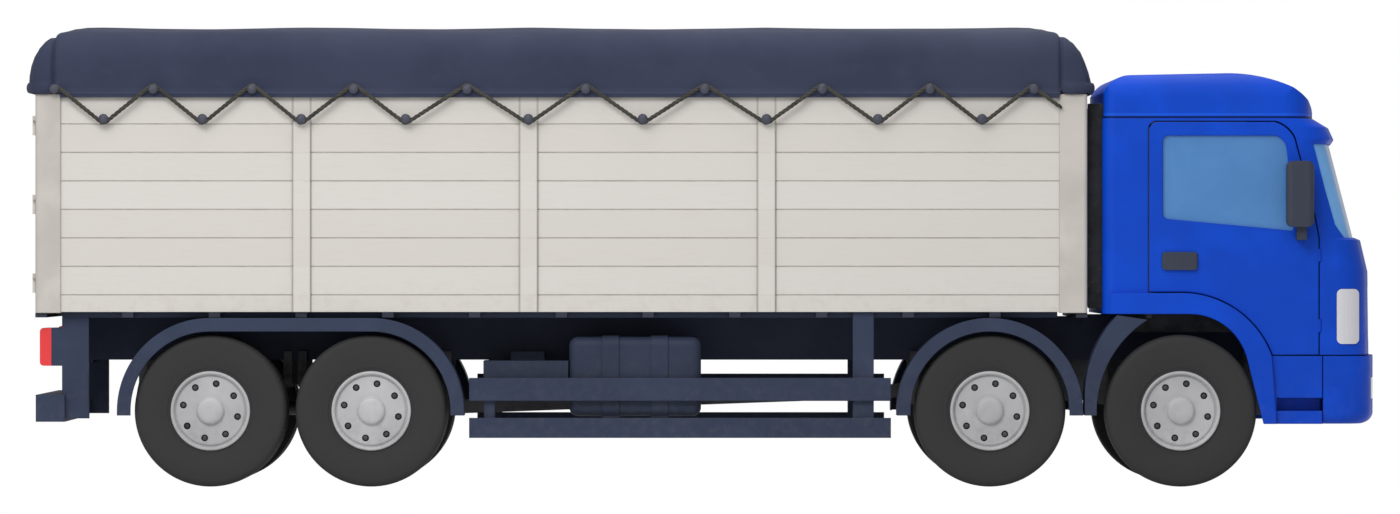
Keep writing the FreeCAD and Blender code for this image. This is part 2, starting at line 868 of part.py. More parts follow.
def drive_axle(axle):
    """A banjo axle: a tube from wheel to wheel with the final drive in a bowl."""
    hub_inner = d.tyre_face - d.disc_set - d.disc_wall
    tube = rod("AxleTube", "y", (-hub_inner, hub_inner), d.axle_tube_radius, axle, z=AXLE_HEIGHT)
    half = d.axle_bowl_width / 2
    bowl = rod("Bowl", "y", (-half, half), d.axle_bowl_radius, axle, z=AXLE_HEIGHT)
    tip = axle + d.axle_bowl_radius + d.shaft_radius * 2
    nose = rod("Pinion", "x", (axle, tip), d.shaft_radius * 2, z=AXLE_HEIGHT)
    seats = []
    for side in (RIGHT, LEFT):
        middle = side * (d.rail_face + d.spring_width / 2)
        seats.append(box("SpringSeat", (axle - d.hanger_length, axle + d.hanger_length),
                         (middle - d.spring_width / 2, middle + d.spring_width / 2),
                         (AXLE_HEIGHT, AXLE_HEIGHT + d.axle_tube_radius)))
    return join("DriveAxle", tube, bowl, nose, *seats)


def drive_line():
    """Both drive axles, the shaft from the gearbox and the short one between the axles."""
    front = FRONT_END - d.engine_front_set - d.engine_length - d.gearbox_length
    nose = AXLES[2] + d.axle_bowl_radius + d.shaft_radius * 2
    high = d.engine_bottom + d.engine_height / 2 - d.gearbox_height / 3
    long_shaft = sloped_rod("LongShaft", (nose, AXLE_HEIGHT), (front, high), d.shaft_radius)
    gap = (AXLES[3] + d.axle_bowl_radius + d.shaft_radius * 2, AXLES[2] - d.axle_bowl_radius)
    short = rod("ShortShaft", "x", gap, d.shaft_radius, z=AXLE_HEIGHT)
    axles = [drive_axle(axle) for axle in AXLES[2:]]
    node("drive_line", join("DriveLine", long_shaft, short, *axles))


def sloped_rod(name, low, high, radius):
    """A round bar in the middle plane from one (x, z) place to another."""
    body = new_body(name)
    run, rise = high[0] - low[0], high[1] - low[1]
    half = radius * root(run * run + rise * rise) / run
    points = [(low[0], low[1] - half), (high[0], high[1] - half)]
    points += [(high[0], high[1] + half), (low[0], low[1] + half)]
    sketch = outline(body, "xz", points)
    pad = body.newObject("PartDesign::Pad", "Pad")
    pad.Profile = sketch
    bind(pad, "Length", radius * 2)
    body.Tip = pad
    return place(body, y=radius)


# Wheels and steering.

def tyre_profile(middle):
    """Section of a tyre (radius, y): flat tread, round shoulders, bulged side walls."""
    half = d.tyre_width / 2
    bead = d.bead_width / 2
    shoulder = d.tyre_radius - d.tyre_shoulder
    belly = d.sidewall_radius
    return [
        (d.bead_radius, middle - bead), (d.bead_radius + d.tyre_shoulder, middle - bead),
        (belly + d.tyre_shoulder, middle - half), (shoulder, middle - half, d.tyre_shoulder, 1),
        (d.tyre_radius, middle - half + d.tyre_shoulder), (d.tyre_radius, middle + half - d.tyre_shoulder,
                                                             d.tyre_shoulder, 1),
        (shoulder, middle + half), (belly + d.tyre_shoulder, middle + half),
        (d.bead_radius + d.tyre_shoulder, middle + bead), (d.bead_radius, middle + bead),
    ]


def barrel_profile(middle):
    """Section of the rim barrel with its two lips."""
    bead = d.bead_width / 2
    inner = d.bead_radius - d.rim_wall
    return [
        (inner, middle - bead - d.rim_lip_width), (d.rim_lip_radius, middle - bead - d.rim_lip_width),
        (d.rim_lip_radius, middle - bead), (d.bead_radius, middle - bead),
        (d.bead_radius, middle + bead), (d.rim_lip_radius, middle + bead),
        (d.rim_lip_radius, middle + bead + d.rim_lip_width), (inner, middle + bead + d.rim_lip_width),
    ]


def wheel_pair(number, twin):
    """Tyre and wheel nodes of one axle, right and left, with one tyre or two on each."""
    axle, name = AXLES[number], AXLE_NAMES[number]
    middles = [-WHEEL_MIDDLE]
    if twin:
        middles.append(-WHEEL_MIDDLE + d.tyre_width + d.twin_gap)
    rings = [turned("Tyre", tyre_profile(middle), axle, 0, AXLE_HEIGHT) for middle in middles]
    tyres = together("Tyres", *rings) if twin else rings[0]
    node(f"tyre_{name}_right", tyres)
    node(f"tyre_{name}_left", mirrored("TyreLeft", tyres))

    face = -d.tyre_face + d.disc_set
    inner = d.bead_radius - d.rim_wall
    outer_inner = face + d.disc_wall
    hub_end = -d.kingpin_face - d.knuckle_radius - d.hub_clear
    dish = [(0, face - d.hub_cap_height), (d.hub_cap_radius - d.hub_cap_round, face - d.hub_cap_height,
                                           d.hub_cap_round, 1)]
    dish += [(d.hub_cap_radius, face - d.hub_cap_height + d.hub_cap_round), (d.hub_cap_radius, face)]
    dish += [(inner, face), (inner, outer_inner)]
    if twin:
        second = middles[1] - d.bead_width / 2
        dish += [(d.hub_radius, outer_inner), (d.hub_radius, second), (inner, second)]
        dish += [(inner, second + d.disc_wall), (d.drum_radius, second + d.disc_wall)]
        bore = d.axle_tube_radius + d.running_gap
        dish += [(d.drum_radius, second + d.drum_width), (bore, second + d.drum_width)]
        dish += [(bore, outer_inner - d.fit_gap), (0, outer_inner - d.fit_gap)]
    else:
        bore = d.spindle_radius + d.running_gap
        dish += [(d.drum_radius, outer_inner), (d.drum_radius, hub_end), (bore, hub_end)]
        dish += [(bore, face + d.spindle_cover), (0, face + d.spindle_cover)]
    disc = turned("Disc", dish, axle, 0, AXLE_HEIGHT)
    barrels = [turned("Barrel", barrel_profile(middle), axle, 0, AXLE_HEIGHT) for middle in middles]
    wheel = join("WheelBlank", disc, *barrels)
    turn = 360 / d.nut_count.value
    sockets = []
    for index in range(int(d.nut_count.value)):
        angle = math.radians(90 - d.nut_turn.value + turn * index)
        socket = rod("NutSocket", "y", (face - d.fit_gap, face + d.disc_drop), d.nut_hole / 2)
        place(socket, axle + d.nut_circle / 2 * math.cos(angle), None,
              AXLE_HEIGHT + d.nut_circle / 2 * math.sin(angle))
        sockets.append(socket)
    wheel = cut("Wheel", wheel, *sockets)
    node(f"wheel_{name}_right", wheel)
    node(f"wheel_{name}_left", mirrored("WheelLeft", wheel))


def knuckle(number):
    """The forks, spindle and steering arm that turn about one kingpin, right and left."""
    axle, name = AXLES[number], AXLE_NAMES[number]
    half = d.knuckle_height / 2
    levels = (AXLE_HEIGHT - half, AXLE_HEIGHT + half)
    side = -d.kingpin_face
    drum = rod("KnuckleDrum", "z", levels, d.knuckle_radius, axle, side)
    tip = -d.tyre_face + d.disc_set + d.spindle_cover + d.hub_clear
    spindle = rod("Spindle", "y", (tip, side), d.spindle_radius, axle, z=AXLE_HEIGHT)
    slot_levels = (AXLE_HEIGHT - d.fork_gap / 2, AXLE_HEIGHT + d.fork_gap / 2)
    slot = rod("Slot", "z", slot_levels, d.slot_radius, axle, side)
    mouth = box("Mouth", (axle - d.knuckle_radius, axle + d.knuckle_radius), (side, side + d.knuckle_radius),
                slot_levels)
    through = (levels[0] - d.overrun, levels[1] + d.overrun)
    bore = rod("KingpinBore", "z", through, d.kingpin_radius + d.running_gap, axle, side)
    forks = cut("Forks", join("KnuckleBlank", drum, spindle), slot, mouth, bore)
    ball = arm_ball(number)
    arm_top = levels[0] + d.arm_thickness
    points = [(axle - d.slot_radius, side - d.arm_width / 2), (axle - d.slot_radius, side + d.arm_width)]
    points += [(ball[0], ball[1] + d.arm_width / 2), (ball[0], ball[1] - d.arm_width / 2)]
    arm = slab("SteeringArm", "xy", points, levels[0], d.arm_thickness)
    eye = rod("ArmEye", "z", (levels[0], arm_top), d.arm_width / 2, ball[0], ball[1])
    whole = join("Knuckle", forks, arm, eye)
    node(f"knuckle_{name}_right", whole)
    node(f"knuckle_{name}_left", mirrored("KnuckleLeft", whole))


def arm_ball(number):
    """Plan place of the right-hand ball joint of a steering arm."""
    return AXLES[number] - d.arm_length, -d.kingpin_face + d.arm_inset


def tie_rod(number):
    """The bar that keeps both wheels of a steering axle parallel, hung under the arms."""
    x, y = arm_ball(number)
    under = AXLE_HEIGHT - d.knuckle_height / 2 - d.fit_gap
    level = under - d.ball_radius
    bar = rod("TieBar", "y", (y, -y), d.tie_rod_radius, x, z=level)
    ends = [rod("TieEnd", "z", (level - d.ball_radius, under), d.ball_radius, x, side) for side in (y, -y)]
    node(f"tie_rod_{AXLE_NAMES[number]}", join("TieRod", bar, *ends))


# Load body.

def grooves(name, x, y):
    """Bars that cut the joints between boards, over the given plan box."""
    bars = []
    for index in range(int(d.board_count.value)):
        level = WALL_BOTTOM + d.sill_height + d.board_pitch * index
        bars.append(box(name, x, y, (level - d.groove_width / 2, level + d.groove_width / 2)))
    return bars


def load_deck():
    """Boards on cross bearers that rest on the runners."""
    inner = d.side_face - d.wall_thickness
    ends = (BODY_REAR + d.leaf_thickness + d.shut_gap, BODY_FRONT - d.wall_thickness * 3 / 2)
    top = WALL_BOTTOM + d.deck_thickness
    pieces = [box("Deck", ends, (-inner, inner), (WALL_BOTTOM, top))]
    length = BODY_FRONT - d.bearer_width - BODY_REAR
    count = round(length.value / d.bearer_pitch.value)
    for index in range(count + 1):
        start = BODY_REAR + length * index / count
        pieces.append(box("Bearer", (start, start + d.bearer_width), (-d.side_face, d.side_face),
                          (RUNNER_TOP, WALL_BOTTOM)))
    seats = []
    for x in ((BODY_REAR - d.overrun, WALL_REAR), (WALL_FRONT, BODY_FRONT + d.overrun)):
        for y in ((-POST_OUTER - d.overrun, d.corner_post_depth - POST_OUTER),
                  (POST_OUTER - d.corner_post_depth, POST_OUTER + d.overrun)):
            seats.append(box("PostSeat", x, y, (WALL_BOTTOM - d.corner_post_drop, top + d.overrun)))
    node("load_deck", cut("LoadDeck", join("DeckWithBearers", *pieces), *seats))


def body_walls():
    """Planked side walls with their posts, and the planked front wall."""
    wall = box("Wall", (WALL_REAR, WALL_FRONT), (-d.side_face, -d.side_face + d.wall_thickness),
               (WALL_BOTTOM, WALL_TOP))
    reach = (-d.side_face - d.overrun, -d.side_face + d.groove_depth)
    planked = cut("PlankedWall", wall, *grooves("Joint", (WALL_REAR - d.overrun, WALL_FRONT + d.overrun), reach))
    posts = []
    for start in POST_STARTS:
        posts.append(box("SidePost", (start, start + d.post_width), (-POST_OUTER, -d.side_face),
                         (WALL_BOTTOM, WALL_BOTTOM + d.post_height)))
    side = join("SideWall", planked, *posts)
    node("body_walls", together("BodyWalls", side, mirrored("SideWallLeft", side), front_wall()))


def corner_posts():
    """Four corner posts, the rear pair tied by a header over the doors."""
    outer, near = -POST_OUTER, d.fit_gap - POST_OUTER
    inner = d.corner_post_depth - POST_OUTER
    level = (WALL_BOTTOM - d.corner_post_drop, WALL_TOP + d.corner_post_rise)
    rear = box("RearPost", (BODY_REAR, WALL_REAR), (outer, inner), level)
    rear = rounded("RearPostRound", rear, d.corner_post_round, along("z", high={"x": BODY_REAR, "y": near}))
    lugs = []
    for low, high in leaf_knuckles():
        span = (high + d.fit_gap, high + d.leaf_hinge_radius * 3)
        lugs.append(rod("PostLug", "z", span, d.leaf_lug_radius, LEAF_HINGE_X, -LEAF_HINGE_Y))
        lugs.append(box("LugArm", (LEAF_HINGE_X - d.leaf_lug_radius, LEAF_HINGE_X), (inner - d.leaf_lug_radius * 4,
                        -LEAF_HINGE_Y), span))
        lugs.append(box("LugFoot", (LEAF_HINGE_X - d.leaf_lug_radius, BODY_REAR),
                        (inner - d.leaf_lug_radius * 4, inner - d.leaf_lug_radius), span))
    rear = join("RearPostWithLugs", rear, *lugs)
    front = box("FrontPost", (WALL_FRONT, BODY_FRONT), (outer, inner), level)
    front = rounded("FrontPostRound", front, d.corner_post_round, along("z", low={"x": BODY_FRONT}, high={"y": near}))
    header = box("Header", (BODY_REAR, BODY_REAR + d.leaf_thickness + d.shut_gap), (inner, 0),
                 (WALL_TOP + d.corner_post_rise - d.header_height, WALL_TOP + d.corner_post_rise))
    node("corner_posts", join("RearFrame", rear, mirrored("RearPostLeft", rear), header,
                              mirrored("HeaderLeft", header), front, mirrored("FrontPostLeft", front)))


def front_wall():
    edge = POST_OUTER - d.corner_post_depth
    front = BODY_FRONT - d.wall_thickness / 2
    wall = box("FrontBoards", (front - d.wall_thickness, front), (-edge, edge), (WALL_BOTTOM, WALL_TOP))
    reach = (front - d.groove_depth, front + d.overrun)
    return cut("FrontWall", wall, *grooves("FrontJoint", reach, (-edge - d.overrun, edge + d.overrun)))


LEAF_HINGE_X = BODY_REAR - d.leaf_hinge_set
LEAF_EDGE = POST_OUTER - d.corner_post_depth - d.shut_gap
LEAF_HINGE_Y = LEAF_EDGE - d.shut_gap / 2
HINGE_LEVEL_SHARES = (0.12, 0.5, 0.88)
LOCK_BAR_SHARES = (0.08, 0.33, 0.92)
LEAF_LEVELS = (WALL_BOTTOM + d.leaf_sill, WALL_TOP + d.corner_post_rise - d.header_height - d.shut_gap)


def leaf_knuckles():
    """Heights of the hinge knuckles of a rear door, each as a low and a high place."""
    half = d.leaf_hinge_radius * 4
    middles = [LEAF_LEVELS[0] + (LEAF_LEVELS[1] - LEAF_LEVELS[0]) * share for share in HINGE_LEVEL_SHARES]
    return [(middle - half, middle + half) for middle in middles]


def rear_doors():
    """Two leaves between the rear posts, hung on pins behind the rear face, each with a locking bar."""
    level = LEAF_LEVELS
    leaf = box("Leaf", (BODY_REAR, BODY_REAR + d.leaf_thickness), (-LEAF_EDGE, -d.shut_gap), level)
    reach = (BODY_REAR - d.overrun, BODY_REAR + d.groove_depth)
    leaf = cut("PlankedLeaf", leaf, *grooves("LeafJoint", reach, (-LEAF_EDGE - d.overrun, d.overrun)))
    pieces = [leaf]
    for low, high in leaf_knuckles():
        pieces.append(rod("Knuckle", "z", (low, high), d.leaf_hinge_radius, LEAF_HINGE_X, -LEAF_HINGE_Y))
        pieces.append(box("Strap", (BODY_REAR - d.leaf_hinge_radius, BODY_REAR),
                          (-LEAF_HINGE_Y, -LEAF_HINGE_Y + d.lock_rod_set), (low, high)))
    bar_y = -LEAF_EDGE + d.lock_rod_set * 4
    bar_x = BODY_REAR - d.lock_rod_radius * 2
    bar_levels = (level[0] + d.leaf_sill * 2, level[1] - d.leaf_sill * 2)
    pieces.append(rod("LockBar", "z", bar_levels, d.lock_rod_radius, bar_x, bar_y))
    for share in LOCK_BAR_SHARES:
        low = level[0] + (level[1] - level[0]) * share
        pieces.append(box("BarGuide", (bar_x - d.lock_rod_radius / 2, BODY_REAR),
                          (bar_y - d.lock_rod_radius * 3 / 2, bar_y + d.lock_rod_radius * 3 / 2),
                          (low, low + d.lock_rod_radius * 2)))
    low = level[0] + (level[1] - level[0]) / 2
    pieces.append(box("LockHandle", (bar_x - d.lock_rod_radius / 2, bar_x + d.lock_rod_radius / 2),
                      (bar_y, bar_y + d.lock_rod_set), (low, low + d.lock_rod_radius * 2)))
    whole = join("RearDoor", *pieces)
    node("rear_door_right", whole)
    node("rear_door_left", mirrored("RearDoorLeft", whole))


def cover_form(name, inset):
    """The tarpaulin's outer form, or its inner one with an inset: what a section, a side view and a plan share."""
    side, top = d.cover_side - inset, COVER_TOP - inset
    rear, front = REAR_END + inset, COVER_FRONT - inset
    bottom = HEM_BOTTOM - inset * 2
    shoulder = d.cover_shoulder - inset
    flank = side - shoulder
    eaves = top - d.cover_crown
    crown_radius = (flank * flank + d.cover_crown * d.cover_crown) / (d.cover_crown * 2)
    section = [(side, bottom), (side, eaves - shoulder, shoulder, 1), (flank, eaves, crown_radius, 1)]
    section += [(-flank, eaves, shoulder, 1), (-side, eaves - shoulder), (-side, bottom)]
    across = slab(name + "Section", "yz", section, rear, front - rear)
    end, nose = d.cover_end_radius - inset, d.cover_nose_radius - inset
    view = [(rear, bottom), (front, bottom), (front, top - nose, nose, 1), (front - nose, top)]
    view += [(rear + end, top, end, 1), (rear, top - end)]
    sideways = slab(name + "Side", "xz", view, side, side * 2)
    corner = d.cover_corner - inset
    plan = [(rear + corner, -side), (front - corner, -side, corner, 1), (front, corner - side)]
    plan += [(front, side - corner, corner, 1), (front - corner, side), (rear + corner, side, corner, 1)]
    plan += [(rear, side - corner), (rear, corner - side, corner, 1)]
    above = slab(name + "Plan", "xy", plan, bottom, top - bottom)
    return overlap(name, overlap(name + "Ends", across, sideways), above)


def tarpaulin():
    """The fitted cover: a skin with a thick hem along the sides, cut higher over the corner posts."""
    outer = cover_form("Cover", as_size(0))
    inner = cover_form("CoverInside", d.cover_thickness)
    tools = [inner]
    for x in ((REAR_END - d.overrun, WALL_REAR), (WALL_FRONT, COVER_FRONT + d.overrun)):
        tools.append(box("HemLift", x, (-d.cover_side - d.overrun, d.cover_side + d.overrun),
                         (HEM_BOTTOM - d.overrun, END_HEM)))
    skin = cut("CoverSkin", outer, *tools)
    hem = box("Hem", (WALL_REAR, WALL_FRONT), (-d.cover_side - d.hem_proud, -d.cover_side + d.cover_thickness),
              (HEM_BOTTOM, HEM_BOTTOM + d.hem_height))
    node("tarpaulin", join("Tarpaulin", skin, hem, mirrored("HemLeft", hem)))


def roof_bows():
    """Hoops under the cover, standing on the wall tops."""
    gap = d.cover_thickness + d.running_gap
    side, top = d.cover_side - gap, COVER_TOP - gap
    outer = bow_section(side, top, d.cover_shoulder - gap)
    deep = d.hoop_depth
    inner = bow_section(side - deep * 2, top - deep, d.cover_shoulder - gap - deep)
    hoops = []
    places = [REAR_END + d.cover_end_radius + d.hoop_width]
    places += [start + d.post_width / 2 for start in POST_STARTS]
    places.append(COVER_FRONT - d.cover_nose_radius - d.hoop_width)
    for place_x in places:
        solid = slab("Hoop", "yz", outer, place_x - d.hoop_width / 2, d.hoop_width)
        hole = slab("HoopHole", "yz", inner, place_x - d.hoop_width, d.hoop_width * 2)
        hoops.append(cut("RoofBow", solid, hole))
    node("roof_bows", together("RoofBows", *hoops))


def bow_section(side, top, shoulder):
    """Half ring outline of a hoop from one wall top to the other."""
    flank = side - shoulder
    eaves = top - d.cover_crown
    crown_radius = (flank * flank + d.cover_crown * d.cover_crown) / (d.cover_crown * 2)
    points = [(side, WALL_TOP), (side, eaves - shoulder, shoulder, 1), (flank, eaves, crown_radius, 1)]
    return points + [(-flank, eaves, shoulder, 1), (-side, eaves - shoulder), (-side, WALL_TOP)]


# Places of the lashing pins: hooks on the walls, and eyelets on the cover between them.
HOOK_SHARES = [(WALL_REAR, POST_STARTS[0], (0.18, 0.59)), (POST_STARTS[0], POST_STARTS[1], (0, 0.46)),
               (POST_STARTS[1], POST_STARTS[2], (0, 0.48)), (POST_STARTS[2], WALL_FRONT, (0, 0.38, 0.735))]


def lashing_places():
    """Hooks and eyelets along the side, as x places."""
    hooks = []
    for start, end, shares in HOOK_SHARES:
        middle = start + d.post_width / 2 if shares[0] == 0 else start
        run = end + d.post_width / 2 - middle if end is not WALL_FRONT else end - middle
        hooks += [middle + run * share for share in shares]
    eyelets = [hooks[0] - (hooks[1] - hooks[0]) / 2]
    eyelets += [(near + far) / 2 for near, far in zip(hooks, hooks[1:])]
    eyelets.append(hooks[-1] + (hooks[-1] - hooks[-2]) / 2)
    return hooks, eyelets


def lashing_knobs():
    """Pins with domed heads that hold the rope."""
    hooks, eyelets = lashing_places()
    near = d.rope_side + d.rope_radius + d.fit_gap * 4
    pins = []
    spots = [(x, HOOK_LEVEL, d.side_face) for x in hooks]
    spots += [(x, EYELET_LEVEL, d.cover_side) for x in eyelets]
    for x, level, root_y in spots:
        stem = rod("Pin", "y", (-near, -root_y), d.knob_pin, x, z=level)
        head = turned("Head", [(0, -d.knob_dome), (d.knob_radius * 3 / 4, -d.knob_dome * 4 / 5),
                               (d.knob_radius, -d.knob_dome / 4), (d.knob_radius, 0), (0, 0)], x, -near, level)
        pins.append(join("Knob", stem, head))
    node("lashing_knobs", both_sides("Knobs", together("KnobRow", *pins)))


def lashing_rope():
    """A taut rope that runs under each hook and over each eyelet, straight between them."""
    hooks, eyelets = lashing_places()
    radius = (d.knob_pin + d.rope_radius + d.fit_gap).value
    centres = []
    for index, x in enumerate(eyelets):
        centres.append(V(x.value, 0, EYELET_LEVEL.value))
        if index < len(hooks):
            centres.append(V(hooks[index].value, 0, HOOK_LEVEL.value))
    edges = []
    last = None
    sense = 1
    for start, end in zip(centres, centres[1:]):
        run = end - start
        slope = math.atan2(run.z, run.x) - sense * math.asin(2 * radius / run.Length)
        left = V(-math.sin(slope), 0, math.cos(slope)) * (radius * sense)
        leave, arrive = start + left, end - left
        if last is not None:
            edges.append(Part.Arc(last, start + V(0, 0, radius * sense), leave).toShape())
        edges.append(Part.LineSegment(leave, arrive).toShape())
        last = arrive
        sense = -sense
    path = Part.Wire(edges)
    start, way = edges[0].Vertexes[0].Point, edges[0].tangentAt(edges[0].FirstParameter)
    ring = Part.Wire(Part.makeCircle(d.rope_radius.value, start, way))
    sweep = Part.BRepOffsetAPI.MakePipeShell(path)
    sweep.add(ring)
    sweep.build()
    sweep.makeSolid()
    rope = doc.addObject("Part::Feature", "Rope")
    rope.Shape = sweep.shape()
    place(rope, y=-d.rope_side)
    node("lashing_rope", both_sides("Ropes", rope))


# Guards, tanks and lamps on the frame.

def tank_and_locker():
    """A rounded fuel tank in two straps, and a locker behind it, both on brackets from the rail."""
    sides = (-d.tank_outer, -d.tank_inner)
    front = TANK_REAR + d.tank_length
    levels = (d.tank_top - d.tank_height, d.tank_top)
    body = box("Tank", (TANK_REAR, front), sides, levels)
    body = rounded("TankRound", body, d.tank_round, lambda edge: True)
    pieces = [body]
    for x in (TANK_REAR + d.strap_set, front - d.strap_set - d.strap_width):
        strap = box("Strap", (x, x + d.strap_width), (-d.tank_outer - d.strap_proud, -d.tank_inner),
                    (levels[0] - d.strap_proud, levels[1] + d.strap_proud))
        strap = rounded("StrapRound", strap, d.tank_round + d.strap_proud, along("x"))
        pieces.append(strap)
        pieces.append(box("TankBracket", (x, x + d.strap_width), (-d.tank_inner - d.tank_round, -d.rail_face),
                          (d.rail_bottom + d.hanger_length / 2, levels[1] - d.tank_round)))
    tank = join("FuelTank", *pieces)
    node("fuel_tanks", both_sides("FuelTanks", tank))
    rear = TANK_REAR - d.locker_length
    outer = d.side_face - d.guard_rail_width - d.guard_post_depth
    case = box("Case", (rear, TANK_REAR - d.shut_gap), (-outer, -d.tank_inner),
               (d.locker_top - d.locker_height, d.locker_top))
    middle = rear + d.locker_length / 2
    bracket = box("LockerBracket", (middle - d.strap_width, middle + d.strap_width), (-d.tank_inner - d.tank_round,
                  -d.rail_face), (d.locker_top - d.hanger_length, d.locker_top + d.hanger_length))
    node("lockers", both_sides("Lockers", join("Locker", case, bracket)))


def side_guards():
    """Two rails along each side on posts under the deck."""
    face = (-d.side_face, -d.side_face + d.guard_rail_width)
    span = (GUARD_REAR, GUARD_FRONT)
    pieces = [box("UpperRail", span, face, (d.guard_top - d.guard_rail_height, d.guard_top)),
              box("LowerRail", span, face, (d.guard_low_top - d.guard_low_height, d.guard_low_top))]
    behind = (face[1], face[1] + d.guard_post_depth)
    bottom = d.guard_low_top - d.guard_low_height
    front = GUARD_FRONT - d.guard_post_front_set
    rear = GUARD_REAR + d.guard_post_rear_set
    pieces.append(box("FrontSupport", (front - d.guard_post_front_width, front), behind, (bottom, WALL_BOTTOM)))
    pieces.append(box("RearSupport", (rear, rear + d.guard_post_rear_width), behind, (bottom, d.guard_top)))
    node("side_guards", both_sides("SideGuards", join("SideGuard", *pieces)))


def arch_outline(rear_axle, front_axle, radius, foot):
    """An arch over one axle or two, closed along its foot."""
    points = [(rear_axle - radius, foot), (front_axle + radius, foot)]
    points.append((front_axle + radius, AXLE_HEIGHT, radius, 1))
    points.append((front_axle, AXLE_HEIGHT + radius))
    if rear_axle is not front_axle:
        points.append((rear_axle, AXLE_HEIGHT + radius, radius, 1))
    else:
        points[-1] = (rear_axle, AXLE_HEIGHT + radius, radius, 1)
    points.append((rear_axle - radius, AXLE_HEIGHT))
    return points


def arch_guard(name, rear_axle, front_axle, radius):
    """A mudguard skin over the tyres with a flat lip on its outer edge, on two arms from the rail."""
    foot = d.guard_foot
    skin = slab(name + "Skin", "xz", arch_outline(rear_axle, front_axle, radius, foot), -d.guard_inner,
                d.guard_face - d.guard_inner)
    under = slab(name + "Under", "xz",
                 arch_outline(rear_axle, front_axle, radius - d.guard_skin, foot - d.overrun),
                 -d.guard_inner + d.overrun, d.guard_face - d.guard_inner - d.guard_lip_width + d.overrun)
    mouth = slab(name + "Mouth", "xz", arch_outline(rear_axle, front_axle, radius - d.guard_lip, foot - d.overrun),
                 -d.guard_inner + d.overrun, d.guard_face - d.guard_inner + d.overrun * 2)
    guard = cut(name + "Guard", skin, under, mouth)
    top = AXLE_HEIGHT + radius - d.guard_skin / 2
    arms = []
    for axle in (rear_axle, front_axle) if rear_axle is not front_axle else (rear_axle,):
        arms.append(box(name + "Arm", (axle - d.hanger_length / 2, axle + d.hanger_length / 2),
                        (-d.guard_inner - d.hanger_length, -d.rail_face), (top - d.hanger_length, top)))
    return join(name, guard, *arms)


def quarter_guard():
    """The flap behind the first wheel, from its foot up to the cab floor and wider toward its top."""
    axle, foot = AXLES[0], d.guard_foot
    tip = (axle - d.quarter_tip_set, d.quarter_tip_height)
    crest = (axle - d.quarter_crest_set, d.quarter_crest_height)
    width = d.guard_face - d.guard_inner

    def outer(name, inset, start, length):
        edge = axle - d.quarter_outer_set + inset
        far, low = tip[0] + inset, foot - inset
        points = [(far, low), (far, tip[1] - inset),
                  (crest[0] + inset, crest[1] - inset, d.quarter_outer_radius - inset, 1),
                  (edge, d.quarter_outer_bend), (edge, low)]
        return slab(name, "xz", points, start, length)

    skin = outer("QuarterSkin", as_size(0), -d.guard_inner, width)
    under = outer("QuarterUnder", d.guard_skin, -d.guard_inner + d.overrun,
                  width - d.guard_lip_width + d.overrun)
    edge, low = axle - d.quarter_inner_set, foot - d.overrun
    far = tip[0] + d.overrun
    points = [(far, low), (far, tip[1]), (tip[0], tip[1], d.quarter_inner_radius, 1), (edge, d.quarter_inner_bend),
              (edge, low)]
    mouth = slab("QuarterMouth", "xz", points, -d.guard_inner + d.overrun, width + d.overrun * 2)
    guard = cut("QuarterGuard", skin, under, mouth)
    level = crest[1] - d.guard_lip
    drop = level - d.quarter_outer_bend
    hold = axle - d.quarter_outer_set + d.quarter_outer_radius - root(d.quarter_outer_radius * d.quarter_outer_radius
                                                                     - drop * drop)
    arm = box("QuarterArm", (hold, hold + d.hanger_length), (-d.guard_inner - d.hanger_length, -d.rail_face),
              (level - d.hanger_length, level))
    return join("QuarterWithArm", guard, arm)


def mudguards():
    tandem = arch_guard("Tandem", AXLES[3], AXLES[2], d.guard_arch)
    second = arch_guard("Second", AXLES[1], AXLES[1], d.guard_arch)
    node("mudguards", both_sides("Mudguards", together("GuardRow", tandem, second, quarter_guard())))


def rear_underrun():
    """A beam across the tail on two brackets, with the housings of the tail lamps."""
    rear = REAR_END + d.underrun_rear_set
    beam = box("UnderrunBeam", (rear, rear + d.underrun_length), (-d.underrun_half, d.underrun_half),
               (d.underrun_bottom, d.underrun_bottom + d.underrun_height))
    foot = rear + d.underrun_length - d.hub_cap_round
    bracket = box("UnderrunBracket", (foot, foot + d.bracket_length), (-d.bracket_half, -d.bracket_half
                  + d.bracket_width), (d.underrun_bottom + d.hub_cap_round, WALL_BOTTOM))
    lens_rear = rear + d.underrun_rear_set / 2
    housing_rear = lens_rear + d.lamp_lens
    levels = (d.lamp_bottom, d.lamp_bottom + d.lamp_height)
    across = (-d.bracket_half, -d.bracket_half + d.lamp_width)
    housing = box("LampHousing", (housing_rear, housing_rear + d.lamp_length), across, levels)
    lens = box("Lens", (lens_rear, housing_rear), across, levels)
    lens = rounded("LensRound", lens, d.lamp_lens / 3, along("y", high={"x": lens_rear}))
    node("rear_underrun", join("Underrun", beam, bracket, mirrored("UnderrunBracketLeft", bracket), housing,
                               mirrored("LampHousingLeft", housing)))
    node("tail_lamps", both_sides("TailLamps", lens))


# Cab. Everything here tilts forward together about the pivot inside the bumper.

def cab_plan(front, inset, rear=None):
    """Plan outline of the cab at one level: round corners and a bowed front."""
    side = d.cab_side - inset
    back = (CAB_REAR if rear is None else rear) + inset
    aft, fore = d.cab_corner_rear - inset, d.cab_corner_front - inset
    crown = d.cab_crown - inset
    flank = side - fore
    sag = crown - root(crown * crown - flank * flank)
    nose = front - inset - sag
    if rear is not None:
        tail = [(back, side), (back, -side)]
    else:
        tail = [(back + aft, side, aft, 1), (back, side - aft), (back, aft - side, aft, 1), (back + aft, -side)]
    return tail + [(nose - fore, -side, fore, 1), (nose, -flank, crown, 1), (nose, flank, fore, 1),
                   (nose - fore, side)]


